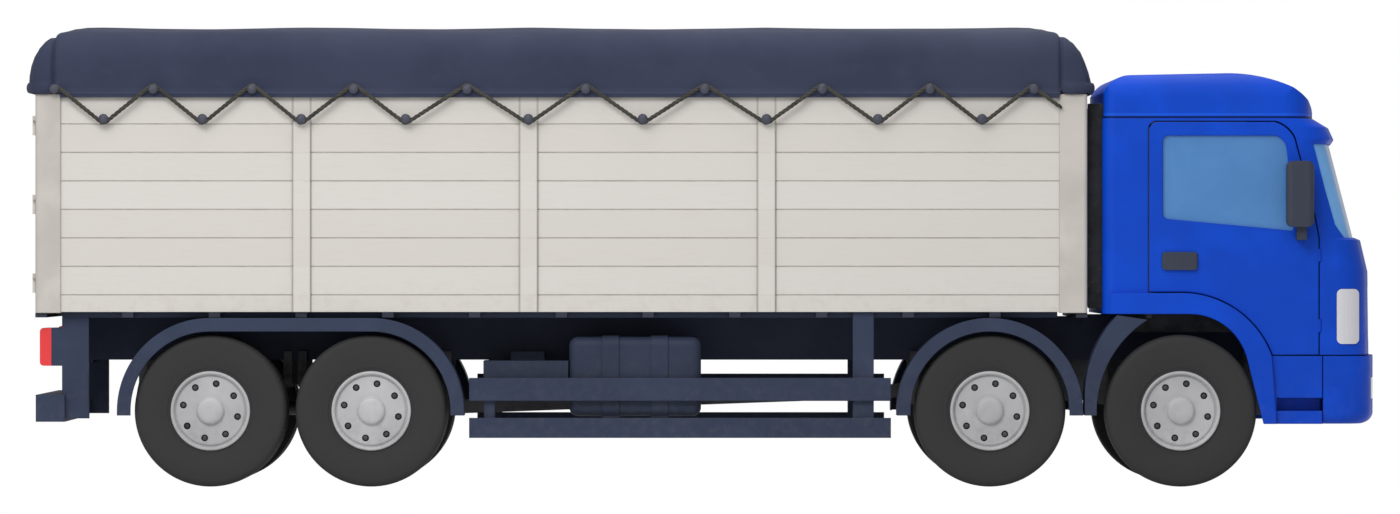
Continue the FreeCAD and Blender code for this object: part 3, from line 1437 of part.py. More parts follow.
FRONT_STATIONS = [
    (d.cab_bottom, c.cab_front_low), (d.cab_knee, c.cab_front_knee), (d.cab_belt, c.cab_front_belt),
    (d.glass_bottom, c.glass_foot), (d.glass_top, c.glass_head), (d.brow_height, c.brow_front),
    (d.brow_top, c.brow_back), (d.cab_seam, c.seam_front),
]


def cab_form(name, inset, stations, rear=None):
    """The cab's outer form, or an inner one with an inset, through plan outlines at the given levels."""
    body = new_body(name)
    sketches = []
    for index, (level, front) in enumerate(stations):
        sketches.append(outline(body, "xy", cab_plan(front, inset, rear), f"Level{index}", level))
    loft = body.newObject("PartDesign::AdditiveLoft", "Loft")
    loft.Profile = sketches[0]
    loft.Sections = sketches[1:]
    loft.Ruled = True
    body.Tip = loft
    return body


def sided(name, plane_points, near, far):
    """An outline in side view as a block between two distances on the right-hand side."""
    return slab(name, "xz", plane_points, -near, far - near)


def door_outline(gap):
    """Side view of the door opening, or of the door itself with a gap."""
    gap = as_size(gap)
    return [
        (c.door_rear + gap, d.flare_top + gap), (c.flare_bend, d.flare_top + gap, d.flare_radius + gap, -1),
        (c.flare_knee + gap, d.flare_knee_height + gap), (c.door_front - gap, d.door_bottom + gap),
        (c.door_front - gap, d.door_waist), (c.door_bend - gap, d.door_bend_height),
        (c.door_head_bend - gap, d.door_head_height - gap, d.door_head_radius, 1),
        (c.door_head_front - gap, d.door_top - gap), (c.door_rear + gap + d.door_round, d.door_top - gap,
                                                       d.door_round, 1),
        (c.door_rear + gap, d.door_top - gap - d.door_round),
    ]


def window_outline(inset):
    """Side view of the door's window opening, or of its pane with an inset."""
    inset = as_size(inset)
    return [
        (c.window_rear + inset, d.window_bottom_rear + inset), (c.window_lower_x - inset, d.window_bottom_front + inset),
        (c.window_front - inset, d.window_bottom_rear), (c.window_head_bend - inset, d.window_head_height - inset,
                                                         d.window_head_radius, 1),
        (c.window_head_front - inset, d.window_top - inset), (c.window_rear + inset, d.window_top - inset),
    ]


def screen_zone(name, inset):
    """The block that cuts the windscreen opening, from its raked side edges forward."""
    inset = as_size(inset)
    far = c.cab_front_low + d.overrun
    low, high = d.glass_bottom + inset, d.glass_top - inset
    points = [(c.pillar_foot + inset, low), (far, low), (far, high), (c.pillar_top + inset, high)]
    points += [(c.pillar_middle + inset, d.pillar_middle_height), (c.pillar_knee + inset, d.pillar_knee_height)]
    side = d.cab_side + d.overrun
    return slab(name, "xz", points, side, side * 2)


def arch_points():
    """Side view of what the wheel arch takes out of the cab, down past its foot."""
    return [(CAB_REAR - d.overrun, d.cab_foot), (c.arch_foot, d.cab_foot), (c.arch_knee, d.arch_knee_height,
            d.arch_radius, 1), (c.arch_bend, d.cab_floor), (CAB_REAR - d.overrun, d.cab_floor)]


def zone(name, x, half, z):
    """A block across the cab between two heights."""
    return box(name, x, (-half, half), z)


def headlamp_zone(name):
    """The block of a corner lens, with round corners in the side view."""
    side = (-d.cab_side - d.overrun, -d.cab_side + d.cab_corner_front)
    block = box(name + "Square", (c.lamp_rear, c.lamp_rear + d.head_lamp_length), side,
                (d.head_lamp_bottom, d.head_lamp_bottom + d.head_lamp_height))
    return rounded(name, block, d.head_lamp_corner, along("y"))


def cab_shell():
    """Hollow shell with its floor, open above to the roof cap and below the floor to the frame."""
    outer = cab_form("CabForm", as_size(0), FRONT_STATIONS)
    room = [(d.cab_floor + d.cab_floor_wall, c.cab_front_low)] + FRONT_STATIONS[1:-1]
    room.append((d.cab_seam + d.overrun, c.seam_front))
    inside = cab_form("CabRoom", d.cab_wall, room)
    under = cab_form("CabUnder", d.cab_wall, [(d.cab_bottom - d.overrun, c.cab_front_low),
                                              (d.cab_floor, c.cab_front_low)], CAB_REAR - d.cab_wall - d.overrun)
    arch = slab("ArchCut", "xz", arch_points(), d.cab_side + d.overrun, (d.cab_side + d.overrun) * 2)
    screen = screen_zone("ScreenCut", 0)
    opening = sided("DoorOpening", door_outline(0), d.cab_side - d.cab_wall - d.fit_gap, d.cab_side + d.overrun)
    lamp_depth = cab_form("LampFloor", d.head_lamp_depth, FRONT_STATIONS[:3])
    lamp = cut("LampPocket", headlamp_zone("LampBlock"), lamp_depth)
    grille_floor = cab_form("GrilleFloor", d.grille_depth, FRONT_STATIONS[:3])
    levels = (d.grille_bottom, d.grille_bottom + d.grille_height)
    grille = cut("GrillePocket", zone("GrilleBlock", (c.lamp_rear, c.cab_front_low + d.overrun), d.grille_half,
                                      levels), grille_floor)
    hinge_seats = join("HingeSeats", *door_barrels("HingeSeat", d.running_gap, d.fit_gap))
    tools = [inside, under, arch, screen, opening, mirrored("DoorOpeningLeft", opening), lamp]
    tools += [hinge_seats, mirrored("HingeSeatsLeft", hinge_seats)]
    tools += [mirrored("LampPocketLeft", lamp), grille]
    shell = outer
    for index, tool in enumerate(tools):
        shell = cut(f"CabCut{index}", shell, tool)
    node("cab_shell", shell)


def windscreen():
    front = cab_form("PaneFront", d.pane_set, FRONT_STATIONS[2:6])
    back = cab_form("PaneBack", d.pane_set + d.pane_thickness, FRONT_STATIONS[2:6])
    node("windscreen", overlap("Windscreen", cut("PaneShell", front, back), screen_zone("PaneZone", d.fit_gap)))


def headlamps():
    """Corner lenses in the shell, and a pair of lamps in the face of the bumper."""
    front = cab_form("LensFront", -d.head_lamp_proud, FRONT_STATIONS[:3])
    back = cab_form("LensBack", d.head_lamp_depth, FRONT_STATIONS[:3])
    lens = overlap("CornerLens", cut("LensShell", front, back), headlamp_zone("LensZone"))
    proud = FRONT_END + d.head_lamp_proud
    lamp = cut("BumperLens", bumper_lamp_zone("BumperLensZone"), bumper_form("BumperLampBack", d.bumper_wall / 2,
               d.cab_foot, d.bumper_top))
    lamp = overlap("BumperLensFace", lamp, bumper_form("BumperLampFace", as_size(0), d.cab_foot, d.bumper_top))
    node("headlamps", both_sides("Headlamps", together("LampSet", lens, lamp)))


def bumper_form(name, inset, low, high):
    """The bumper's block in plan, with round corners and the bowed front."""
    side = d.cab_side - inset
    fore, crown = d.bumper_corner - inset, d.cab_crown - inset
    flank = side - fore
    nose = FRONT_END - inset - (crown - root(crown * crown - flank * flank))
    rear = c.bumper_rear - (d.overrun if inset.value else 0)
    points = [(rear, side), (rear, -side), (nose - fore, -side, fore, 1), (nose, -flank, crown, 1),
              (nose, flank, fore, 1), (nose - fore, side)]
    return slab(name, "xy", points, low, high - low)


def bumper_lamp_zone(name):
    inner = -d.bumper_lamp_inner
    return box(name, (FRONT_END - d.bumper_corner, FRONT_END + d.overrun), (inner - d.bumper_lamp_width, inner),
               (d.bumper_lamp_bottom, d.bumper_lamp_bottom + d.bumper_lamp_height))


def front_bumper():
    """Bumper shell with the two arms that hold the cab on its pivot."""
    block = bumper_form("BumperBlock", as_size(0), d.cab_foot, d.bumper_top)
    low = d.cab_foot.value

    def lower_edge(edge):
        ends = [vertex.Point for vertex in edge.Vertexes]
        level = all(abs(point.z - low) < 1e-3 for point in ends)
        return level and not all(point.x < c.bumper_rear.value + d.fit_gap.value for point in ends)

    block = rounded("BumperRound", block, d.bumper_round, lower_edge)
    room = bumper_form("BumperRoom", d.bumper_wall, d.cab_foot + d.bumper_wall, d.bumper_top + d.overrun)
    pocket = cut("BumperPocket", bumper_lamp_zone("PocketZone"),
                 bumper_form("PocketBack", d.bumper_wall / 2, d.cab_foot, d.bumper_top))
    shell = cut("BumperShell", block, room, pocket, mirrored("BumperPocketLeft", pocket))
    inner = d.rail_face + d.pivot_gap
    tip = FRONT_END - d.bumper_wall * 3 / 4
    knee = FRONT_END - d.bumper_wall * 3
    points = [(PIVOT_X - d.pivot_boss, d.pivot_height), (PIVOT_X + d.pivot_boss, d.pivot_height),
              (tip, d.pivot_height), (tip, d.bumper_top - d.bumper_wall), (knee, d.bumper_top),
              (knee, d.cab_floor), (PIVOT_X - d.pivot_boss / 2, d.cab_floor)]
    arm = sided("PivotArm", points, inner, inner + d.pivot_plate)
    boss = rod("ArmBoss", "y", (-inner - d.pivot_plate, -inner), d.pivot_boss, PIVOT_X, z=d.pivot_height)
    bore = rod("ArmBore", "y", (-inner - d.pivot_plate - d.overrun, -inner + d.overrun), d.pivot_pin + d.fit_gap,
               PIVOT_X, z=d.pivot_height)
    arm = cut("PivotArmBored", join("PivotArmBlank", arm, boss), bore)
    node("front_bumper", join("Bumper", shell, arm, mirrored("PivotArmLeft", arm)))


def cab_steps():
    """Step wells behind the bumper, each hung from the cab floor by a plate."""
    x = (c.flare_foot - d.flare_proud, c.step_front)
    block = box("StepBlock", x, (-d.cab_side, -d.step_inner), (d.cab_foot, d.bumper_top))
    tread = box("StepRecess", (c.flare_foot, c.step_front + d.overrun),
                (-d.cab_side - d.overrun, -d.cab_side + d.step_recess_depth),
                (d.step_recess_bottom, d.step_recess_top))
    hanger = box("StepHanger", (x[0] + d.step_recess_depth, c.step_front), (-d.cab_side + d.cab_wall * 2,
                 -d.cab_side + d.cab_wall * 2 + d.step_post), (d.bumper_top - d.step_post, d.cab_floor))
    node("cab_steps", both_sides("Steps", join("Step", cut("StepWell", block, tread), hanger)))


def cab_fenders():
    """Flares round the first wheel arch, running down to the foot in front of the wheel."""
    points = [((CAB_REAR + d.flare_rear_set), d.cab_floor), (c.arch_bend, d.cab_floor, d.arch_radius, -1),
              (c.arch_knee, d.arch_knee_height), (c.arch_foot, d.cab_foot), (c.flare_foot, d.cab_foot),
              (c.flare_knee, d.flare_knee_height, d.flare_radius, 1), (c.flare_bend, d.flare_top),
              ((CAB_REAR + d.flare_rear_set), d.flare_top)]
    node("cab_fenders", both_sides("Flares", sided("Flare", points, d.cab_side, d.cab_side + d.flare_proud)))


def cap_form(name, inset):
    """The roof cap's form: side view, section and plan in common."""
    seam = d.cab_seam - (d.overrun if inset.value else 0)
    rear, front = CAB_REAR + inset, c.seam_front - inset
    top = d.cap_top - inset
    view = [(rear, seam), (front, seam, d.cap_nose_radius, 1),
            (c.cap_brow, top - d.cap_brow_drop, d.cap_brow_radius, 1), (c.cap_crest, top),
            (rear + d.cap_rear_run, top - d.cap_crest_rise, d.cap_rear_radius, 1),
            (rear, d.cab_seam + d.cap_rear_rise - inset)]
    side = d.cab_side - d.cap_inset - inset
    sideways = slab(name + "Side", "xz", view, side, side * 2)
    shoulder = d.cap_shoulder - inset
    section = [(side, seam), (side, top - shoulder, shoulder, 1), (side - shoulder, top),
               (shoulder - side, top, shoulder, 1), (-side, top - shoulder), (-side, seam)]
    across = slab(name + "Section", "yz", section, rear, front - rear)
    plan = slab(name + "Plan", "xy", cab_plan(c.seam_front, inset + d.cap_inset), seam, top - seam)
    return overlap(name, overlap(name + "Ends", sideways, across), plan)


def cab_roof():
    node("cab_roof", cut("CabRoof", cap_form("Cap", as_size(0)), cap_form("CapRoom", d.cap_wall)))


HINGE_SHARES = (0.2, 0.8)


def hinge_lows():
    """Lower ends of a cab door's hinge barrels."""
    return [d.door_bottom + (d.door_waist - d.door_bottom) * share for share in HINGE_SHARES]


def door_barrels(name, around, beyond):
    """The round barrels that a cab door swings on, or their seats in the pillar with a gap around and beyond."""
    return [rod(name, "z", (low - beyond, low + d.door_hinge_height + beyond), d.door_hinge_radius + around,
                c.door_front, -d.cab_side) for low in hinge_lows()]


def doors():
    """Doors on pins in the front pillars, each with its pane, handle and mirror."""
    skin = sided("DoorPanel", door_outline(d.door_gap), d.cab_side - d.door_skin, d.cab_side)
    opening = sided("WindowOpening", window_outline(0), d.cab_side - d.door_skin - d.overrun, d.cab_side + d.overrun)
    opening = rounded("WindowCorners", opening, d.window_corner, along("y", high={"x": c.window_rear}))
    hinges = door_barrels("DoorHinge", 0, 0)
    for low in hinge_lows():
        hinges.append(box("HingeWeb", (c.door_front - d.door_gap * 2, c.door_front),
                          (-d.cab_side, -d.cab_side + d.door_hinge_radius / 2), (low, low + d.door_hinge_height)))
    door = join("Door", cut("DoorFrame", skin, opening), *hinges)
    node("door_right", door)
    node("door_left", mirrored("DoorLeft", door))
    near = d.cab_side - d.door_pane_set - d.pane_thickness
    pane = sided("DoorPane", window_outline(d.fit_gap), near, near + d.pane_thickness)
    pane = rounded("DoorPaneCorners", pane, d.window_corner - d.fit_gap,
                   along("y", high={"x": c.window_rear + d.fit_gap}))
    node("door_glass_right", pane)
    node("door_glass_left", mirrored("DoorPaneLeft", pane))
    handle = box("Handle", (c.handle_rear, c.handle_rear + d.handle_length),
                 (-d.cab_side - d.handle_proud, -d.cab_side), (d.handle_bottom, d.handle_bottom + d.handle_height))
    ends = rounded("HandleEnds", handle, d.handle_proud * 3 / 4,
                   along("z", high={"y": -d.cab_side - d.handle_proud}))
    handle = overlap("HandleRound", ends, rounded("HandleCorners", handle, d.handle_corner, along("y")))
    front = c.mirror_rear + d.mirror_length
    near = d.cab_side + d.mirror_gap
    mirror = box("MirrorCase", (c.mirror_rear, front), (-near - d.mirror_width, -near),
                 (d.mirror_bottom, d.mirror_bottom + d.mirror_height))
    mirror = overlap("MirrorRound", rounded("MirrorPlan", mirror, d.mirror_round, along("z")),
                     rounded("MirrorCorners", mirror, d.mirror_corner, along("y")))
    start = front - d.stalk_length - d.stalk_set
    stalk = box("MirrorStalk", (start, start + d.stalk_length), (-near - d.mirror_gap, -near),
                (d.mirror_bottom - d.stalk_drop, d.mirror_bottom + d.stalk_drop))
    foot = box("MirrorFoot", (start, start + d.stalk_length), (-near, -d.cab_side),
               (d.mirror_bottom - d.stalk_drop, d.mirror_bottom - d.stalk_drop / 2))
    node("door_fittings_right", together("DoorFittings", handle, join("Mirror", mirror, stalk, foot)))
    node("door_fittings_left", mirrored("DoorFittingsLeft", NODES["door_fittings_right"]))


def grille():
    """Bars across the front panel, on a thin back plate."""
    floor = cab_form("GrilleBack", d.grille_depth, FRONT_STATIONS[:3])
    face = cab_form("GrilleFace", d.grille_back / 2, FRONT_STATIONS[:3])
    plate_face = cab_form("GrillePlateFace", d.grille_depth - d.grille_back, FRONT_STATIONS[:3])
    x = (c.lamp_rear, c.cab_front_low + d.overrun)
    half = d.grille_half - d.fit_gap
    levels = (d.grille_bottom + d.fit_gap, d.grille_bottom + d.grille_height - d.fit_gap)
    plate = overlap("GrillePlate", cut("GrillePlateShell", plate_face, floor), zone("GrillePlateZone", x, half,
                                                                                   levels))
    pitch = (levels[1] - levels[0]) / d.grille_count
    bars = []
    for index in range(int(d.grille_count.value)):
        low = levels[0] + pitch * index + pitch / 5
        bars.append(zone("GrilleBar", x, half - pitch / 5, (low, low + pitch * 3 / 5)))
    bar_shell = cut("GrilleBarShell", face, floor)
    node("grille", join("Grille", plate, overlap("GrilleBars", bar_shell, together("BarZones", *bars))))


def seats():
    """Two seats: cushion and back on a base."""
    floor = d.cab_floor + d.cab_floor_wall
    half = d.seat_width / 2
    y = (-d.seat_side - half, half - d.seat_side)
    base_high = floor + d.seat_height / 2
    base = box("SeatBase", (c.seat_rear + d.seat_back_depth, c.seat_rear + d.seat_depth), (y[0] + d.seat_round, y[1]
               - d.seat_round), (floor, base_high))
    cushion = box("Cushion", (c.seat_rear, c.seat_rear + d.seat_depth), y, (base_high, floor + d.seat_height))
    back = box("SeatBack", (c.seat_rear, c.seat_rear + d.seat_back_depth), y,
               (base_high, floor + d.seat_height + d.seat_back))
    soft = rounded("SeatRound", join("SeatPad", cushion, back), d.seat_round, along("x"))
    node("seats", both_sides("Seats", join("Seat", base, soft)))


def dashboard():
    """Dash on a console, with the steering wheel on its column on the left."""
    floor = d.cab_floor + d.cab_floor_wall
    rear = c.dash_front - d.dash_depth
    dash = zone("Dash", (rear, c.dash_front), d.dash_half, (d.dash_bottom, d.dash_bottom + d.dash_height))
    console = zone("Console", (rear, c.dash_front), d.console_half, (floor, d.dash_bottom))
    tilt = FreeCAD.Rotation(V(0, 1, 0), -90 + d.ring_tilt.value)
    ring = doc.addObject("Part::Torus", "Ring")
    bind(ring, "Radius1", d.ring_radius)
    bind(ring, "Radius2", d.ring_tube)
    ring.Placement = FreeCAD.Placement(V(), tilt)
    x, z = rear - d.ring_set, d.dash_bottom + d.dash_height + d.ring_rise
    place(ring, x, d.seat_side, z)
    column = doc.addObject("Part::Cylinder", "Column")
    bind(column, "Radius", d.column_radius)
    bind(column, "Height", d.ring_set + d.dash_depth / 2)
    column.Placement = FreeCAD.Placement(V(), FreeCAD.Rotation(V(0, 1, 0), 90 + d.ring_tilt.value))
    place(column, x, d.seat_side, z)
    spoke = rod("Spoke", "y", (d.seat_side - d.ring_radius, d.seat_side + d.ring_radius), d.ring_tube, x, z=z)
    node("dashboard", join("Dashboard", dash, console, ring, column, spoke))


def build():
    """Makes every sub-part."""
    frame_rails()
    frame_crossmembers()
    engine()
    springs()
    steer_axles()
    drive_line()
    for number in (0, 1):
        knuckle(number)
        tie_rod(number)
        wheel_pair(number, False)
    for number in (2, 3):
        wheel_pair(number, True)
    load_deck()
    body_walls()
    corner_posts()
    rear_doors()
    tarpaulin()
    roof_bows()
    lashing_knobs()
    lashing_rope()
    tank_and_locker()
    side_guards()
    mudguards()
    rear_underrun()
    cab_shell()
    windscreen()
    headlamps()
    front_bumper()
    cab_steps()
    cab_fenders()
    cab_roof()
    doors()
    grille()
    seats()
    dashboard()


def check():
    """Stops if any object failed, or if a sub-part has no valid solid."""
    doc.recompute()
    for thing in doc.Objects:
        if "Invalid" in thing.State or "Error" in thing.State:
            raise RuntimeError(f"{thing.Name} failed: {thing.State}")
    for name, thing in NODES.items():
        shape = thing.Shape
        if shape.isNull() or not shape.isValid() or not shape.Solids:
            raise RuntimeError(f"{name} has no valid solid")


def export():
    os.makedirs("parts", exist_ok=True)
    for name, thing in NODES.items():
        thing.Shape.exportStep(f"parts/{name}.step")
        print(name, len(thing.Shape.Solids))


build()
check()
export()
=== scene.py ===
"""Looks of the rigid four-axle cargo truck: finishes for its solids, and the cover, rope, tyres, wheels and seats."""
import math

import bmesh
import bpy
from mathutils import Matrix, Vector, noise


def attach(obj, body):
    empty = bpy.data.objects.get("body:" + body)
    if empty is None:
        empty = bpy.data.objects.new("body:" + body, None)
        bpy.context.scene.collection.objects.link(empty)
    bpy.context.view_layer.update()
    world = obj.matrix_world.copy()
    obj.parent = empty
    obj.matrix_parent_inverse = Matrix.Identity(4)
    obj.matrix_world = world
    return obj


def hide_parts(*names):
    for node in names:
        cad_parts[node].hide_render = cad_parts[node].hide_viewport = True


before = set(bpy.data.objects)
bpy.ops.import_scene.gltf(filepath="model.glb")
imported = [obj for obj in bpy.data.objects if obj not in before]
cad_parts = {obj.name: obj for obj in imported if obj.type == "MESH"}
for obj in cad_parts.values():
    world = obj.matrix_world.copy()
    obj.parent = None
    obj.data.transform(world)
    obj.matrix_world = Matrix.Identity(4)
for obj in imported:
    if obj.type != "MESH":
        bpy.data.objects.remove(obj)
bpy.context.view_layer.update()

SIDES = {"right": -1, "left": 1}
AXLES = {"first": 3.804, "second": 2.276, "third": -2.676, "fourth": -3.964}
STEER_AXLES = ("first", "second")
AXLE_HEIGHT, WHEEL_MIDDLE, TWIN_STEP = 0.608, 1.0925, 0.320
REAR_END, WALL_REAR, WALL_FRONT = -5.420, -5.160, 2.832
POSTS, HALF_POST = (-3.232, -1.416, 0.488), 0.072
BOARD_FOOT, BOARD_PITCH, PLANK_WIDTH = 1.308, 0.228, 0.145
# The seam below the cab's roof, and the top of the bearers under the deck.
ROOF_SEAM, BEARER_TOP = 2.960, 1.402


# Finishes. Every pattern is read from the object's own coordinates, or from a piece's own map.

def linear(*rgb):
    """A colour written in 0 to 255, as the shader wants it."""
    spread = [value / 255 for value in rgb]
    return tuple(v / 12.92 if v <= 0.04045 else ((v + 0.055) / 1.055) ** 2.4 for v in spread) + (1.0,)


def shade(colour, times, more=0):
    """A darker or lighter colour."""
    return [min(255, value * times + more) for value in colour]


class Nodes:
    """A node tree that is filled node by node."""

    def __init__(self, tree):
        self.tree = tree

    def add(self, kind, feeds=None, **settings):
        """A node with its settings, fed by sockets or by plain values; gives its outputs."""
        node = self.tree.nodes.new(kind)
        for key, value in settings.items():
            setattr(node, key, value)
        for key, source in (feeds or {}).items():
            if isinstance(source, bpy.types.NodeSocket):
                self.tree.links.new(source, node.inputs[key])
            else:
                node.inputs[key].default_value = source
        return node.outputs

    def maths(self, operation, first, second=0.0):
        """Two values joined by a math operation."""
        return self.add("ShaderNodeMath", {0: first, 1: second}, operation=operation)[0]


class Finish(Nodes):
    """A node-built material: patterns are chained into its colour, roughness and relief."""

    def __init__(self, name, colour, roughness, map_name=None):
        self.material = bpy.data.materials.new(name)
        self.material.use_nodes = True
        super().__init__(self.material.node_tree)
        self.shader = self.tree.nodes["Principled BSDF"]
        self.colour, self.normal = linear(*colour), {}
        self.set(base_color=self.colour, roughness=roughness)
        if map_name:
            self.place = self.add("ShaderNodeUVMap", uv_map=map_name)["UV"]
        else:
            self.place = self.add("ShaderNodeTexCoord")["Object"]

    def set(self, **values):
        """Plain numbers on the shader's own sockets."""
        for name, value in values.items():
            self.shader.inputs[name.replace("_", " ").title().replace("Ior", "IOR")].default_value = value

    def feed(self, name, source):
        self.tree.links.new(source, self.shader.inputs[name])

    def noise(self, scale, detail=3.0, rough=0.55, stretch=None, twist=0.0):
        """Soft random pattern, 0 to 1."""
        place = self.add("ShaderNodeMapping", {"Vector": self.place, "Scale": stretch})[0] if stretch else self.place
        return self.add("ShaderNodeTexNoise", {"Vector": place, "Scale": scale, "Detail": detail, "Roughness": rough,
                                               "Distortion": twist})["Fac"]

    def crossed(self, *sets):
        """Two sets of stripes that cross, each given by its scale and axis, 0 to 1."""
        return self.maths("MULTIPLY", *[
            self.add("ShaderNodeTexWave", {"Vector": self.place, "Scale": scale}, bands_direction=axis)["Fac"]
            for scale, axis in sets])

    def part(self, axis):
        """One coordinate alone."""
        return self.add("ShaderNodeSeparateXYZ", {"Vector": self.place})[axis]

    def apart(self, first, second):
        """The distance between two values."""
        return self.maths("ABSOLUTE", self.maths("SUBTRACT", first, second))

    def ramp(self, source, low, high, start=0.0, end=1.0):
        """Source from low to high, as start to end and no further."""
        feeds = {"Value": source, "From Min": low, "From Max": high, "To Min": start, "To Max": end}
        return self.add("ShaderNodeMapRange", feeds, interpolation_type="SMOOTHSTEP")["Result"]

    def strips(self, axis, foot, width):
        """Strips side by side: a random tone for each, and how far a place lies from its strip's middle, 0 to 0.5."""
        count = self.maths("DIVIDE", self.maths("SUBTRACT", self.part(axis), foot), width)
        own = self.add("ShaderNodeTexWhiteNoise", {"W": self.maths("FLOOR", count)}, noise_dimensions="1D")["Value"]
        return own, self.apart(self.maths("FRACT", count), 0.5)

    def tint(self, factor, colour, share=1.0):
        """Lays a colour over what is there, where the factor is high."""
        if share != 1.0:
            factor = self.maths("MULTIPLY", factor, share)
        self.colour = self.add("ShaderNodeMix", {"Factor": factor, "A": self.colour, "B": linear(*colour)},
                               data_type="RGBA")["Result"]
        self.feed("Base Color", self.colour)

    def mottle(self, colour, share, low, high, *pattern):
        """Lays a colour over what is there, in patches where a random pattern runs from low to high."""
        self.tint(self.ramp(self.noise(*pattern), low, high), colour, share)

    def gloss(self, factor, low, high):
        """Roughness that follows a pattern."""
        self.feed("Roughness", self.ramp(factor, 0.25, 0.75, low, high))

    def turn_normal(self, kind, feeds, **settings):
        """Turns the surface's normal by a node, on top of what turned it before."""
        self.normal = {"Normal": self.add(kind, feeds | self.normal, **settings)["Normal"]}
        self.feed("Normal", self.normal["Normal"])

    def soften(self, radius):
        """Rounds the look of hard edges."""
        self.turn_normal("ShaderNodeBevel", {"Radius": radius}, samples=4)

    def relief(self, height, depth, strength):
        """Raises the surface by a pattern of that depth in metres."""
        self.turn_normal("ShaderNodeBump", {"Strength": strength, "Distance": depth, "Height": height})


def sprayed(name, colour, roughness, edge, shine, dust=(122, 116, 104), dust_top=1.5, dust_share=0.10, seam=None):
    """Sprayed paint: faint orange peel, slow changes of tone, and road dust that thins out upwards; at a seam, a
    painted shade line with a painted highlight above it.
    """
    paint = Finish(name, colour, roughness)
    paint.set(specular_ior_level=shine)
    paint.soften(edge)
    paint.mottle(shade(colour, 0.90), 0.7, 0.35, 0.6, 0.9, 4.0, 0.6)
    paint.mottle(shade(colour, 1.05, 3), 0.5, 0.5, 0.75, 2.3)
    height = paint.ramp(paint.part("Z"), 0.3, dust_top, 1.0, 0.0)
    specks = paint.ramp(paint.noise(14.0, 6.0, 0.7), 0.42, 0.72)
    paint.tint(paint.maths("MULTIPLY", height, specks), dust, dust_share)
    paint.gloss(paint.noise(6.0, 5.0, 0.65), roughness - 0.05, roughness + 0.08)
    paint.relief(paint.noise(160.0, 2.0), 0.0006, 0.35)
    if seam:
        # Painted light at the seam: a painted shade line on it, and a painted highlight just above it.
        seam_painted_shade = (seam, 0.012, shade(colour, 0.35), 0.9)
        lit_edge = (seam + 0.022, 0.014, shade(colour, 1.1, 30), 0.35)
        for level, width, tone, share in (seam_painted_shade, lit_edge):
            paint.tint(paint.ramp(paint.apart(paint.part("Z"), level), 0.004, width, 1.0, 0.0), tone, share)
    return paint.material


def board_enamel():
    """Cream paint on boards: the grain shows through, each board has its own tone, joints hold some dirt, and a
    painted shade line runs beside each post.
    """
    paint = Finish("board_enamel", (212, 208, 203), 0.50)
    paint.set(specular_ior_level=0.15)
    paint.soften(0.006)
    own, from_middle = paint.strips("Z", BOARD_FOOT, BOARD_PITCH)
    paint.tint(own, (206, 201, 194), 0.55)
    grain = paint.noise(5.0, 8.0, 0.6, (0.7, 9.0, 14.0), 0.3)
    paint.tint(paint.ramp(grain, 0.5, 0.72), (203, 197, 188), 0.35)
    dirt = paint.ramp(paint.noise(7.0, 4.0), 0.4, 0.7)
    paint.tint(paint.maths("MULTIPLY", paint.ramp(from_middle, 0.455, 0.5), dirt), (176, 168, 155), 0.30)
    # Painted shade: a dark line down both sides of each post, where it stands off the boards.
    from_post = 1.0
    for middle in POSTS:
        edge = paint.apart(paint.apart(paint.part("X"), middle), HALF_POST)
        from_post = paint.maths("MINIMUM", edge, from_post)
    paint.tint(paint.ramp(from_post, 0.003, 0.013, 1.0, 0.0), (150, 145, 138), 0.6)
    low = paint.ramp(paint.part("Z"), 1.40, 1.75, 1.0, 0.0)
    splashes = paint.ramp(paint.noise(9.0, 6.0, 0.7), 0.45, 0.7)
    paint.tint(paint.maths("MULTIPLY", low, splashes), (168, 158, 142), 0.16)
    paint.gloss(grain, 0.42, 0.56)
    paint.relief(grain, 0.0016, 0.5)
    paint.relief(paint.noise(120.0, 2.0), 0.0005, 0.3)
    return paint.material


def tyre_rubber():
    """Smooth dark rubber on the piece's own map: fine rings on the side walls, sipes across the tread."""
    rubber = Finish("tyre_rubber", (52, 52, 53), 0.64, "section")
    rubber.set(specular_ior_level=0.18)
    around, across = rubber.part("X"), rubber.part("Y")
    tread = rubber.maths("MULTIPLY", rubber.ramp(across, 0.345, 0.352), rubber.ramp(across, 0.648, 0.655, 1.0, 0.0))
    rings = rubber.maths("SINE", rubber.maths("MULTIPLY", across, 420.0))
    near_rim = rubber.maths("ADD", rubber.ramp(across, 0.10, 0.13, 1.0, 0.0), rubber.ramp(across, 0.87, 0.90))
    rubber.relief(rubber.maths("MULTIPLY", rings, near_rim), 0.0012, 0.5)
    zigzag = rubber.maths("MULTIPLY", rubber.maths("PINGPONG", rubber.maths("MULTIPLY", across, 26.0), 1.0), 0.22)
    sipe = rubber.maths("FRACT", rubber.maths("ADD", rubber.maths("MULTIPLY", around, 96.0), zigzag))
    skin = rubber.ramp(rubber.apart(sipe, 0.5), 0.02, 0.07)
    skin = rubber.maths("MAXIMUM", skin, rubber.maths("SUBTRACT", 1.0, tread))
    rubber.relief(skin, 0.006, 1.0)
    dusty = rubber.noise(38.0, 6.0, 0.7, (6.0, 1.0, 1.0))
    rubber.tint(rubber.ramp(dusty, 0.45, 0.75), (70, 68, 64), 0.35)
    # Painted shade inside the sipes, which are only a bump.
    rubber.tint(rubber.maths("SUBTRACT", 1.0, skin), (30, 30, 30), 0.8)
    rubber.tint(rubber.maths("MULTIPLY", tread, rubber.ramp(dusty, 0.3, 0.6)), (92, 88, 80), 0.4)
    rubber.gloss(dusty, 0.58, 0.74)
    return rubber.material


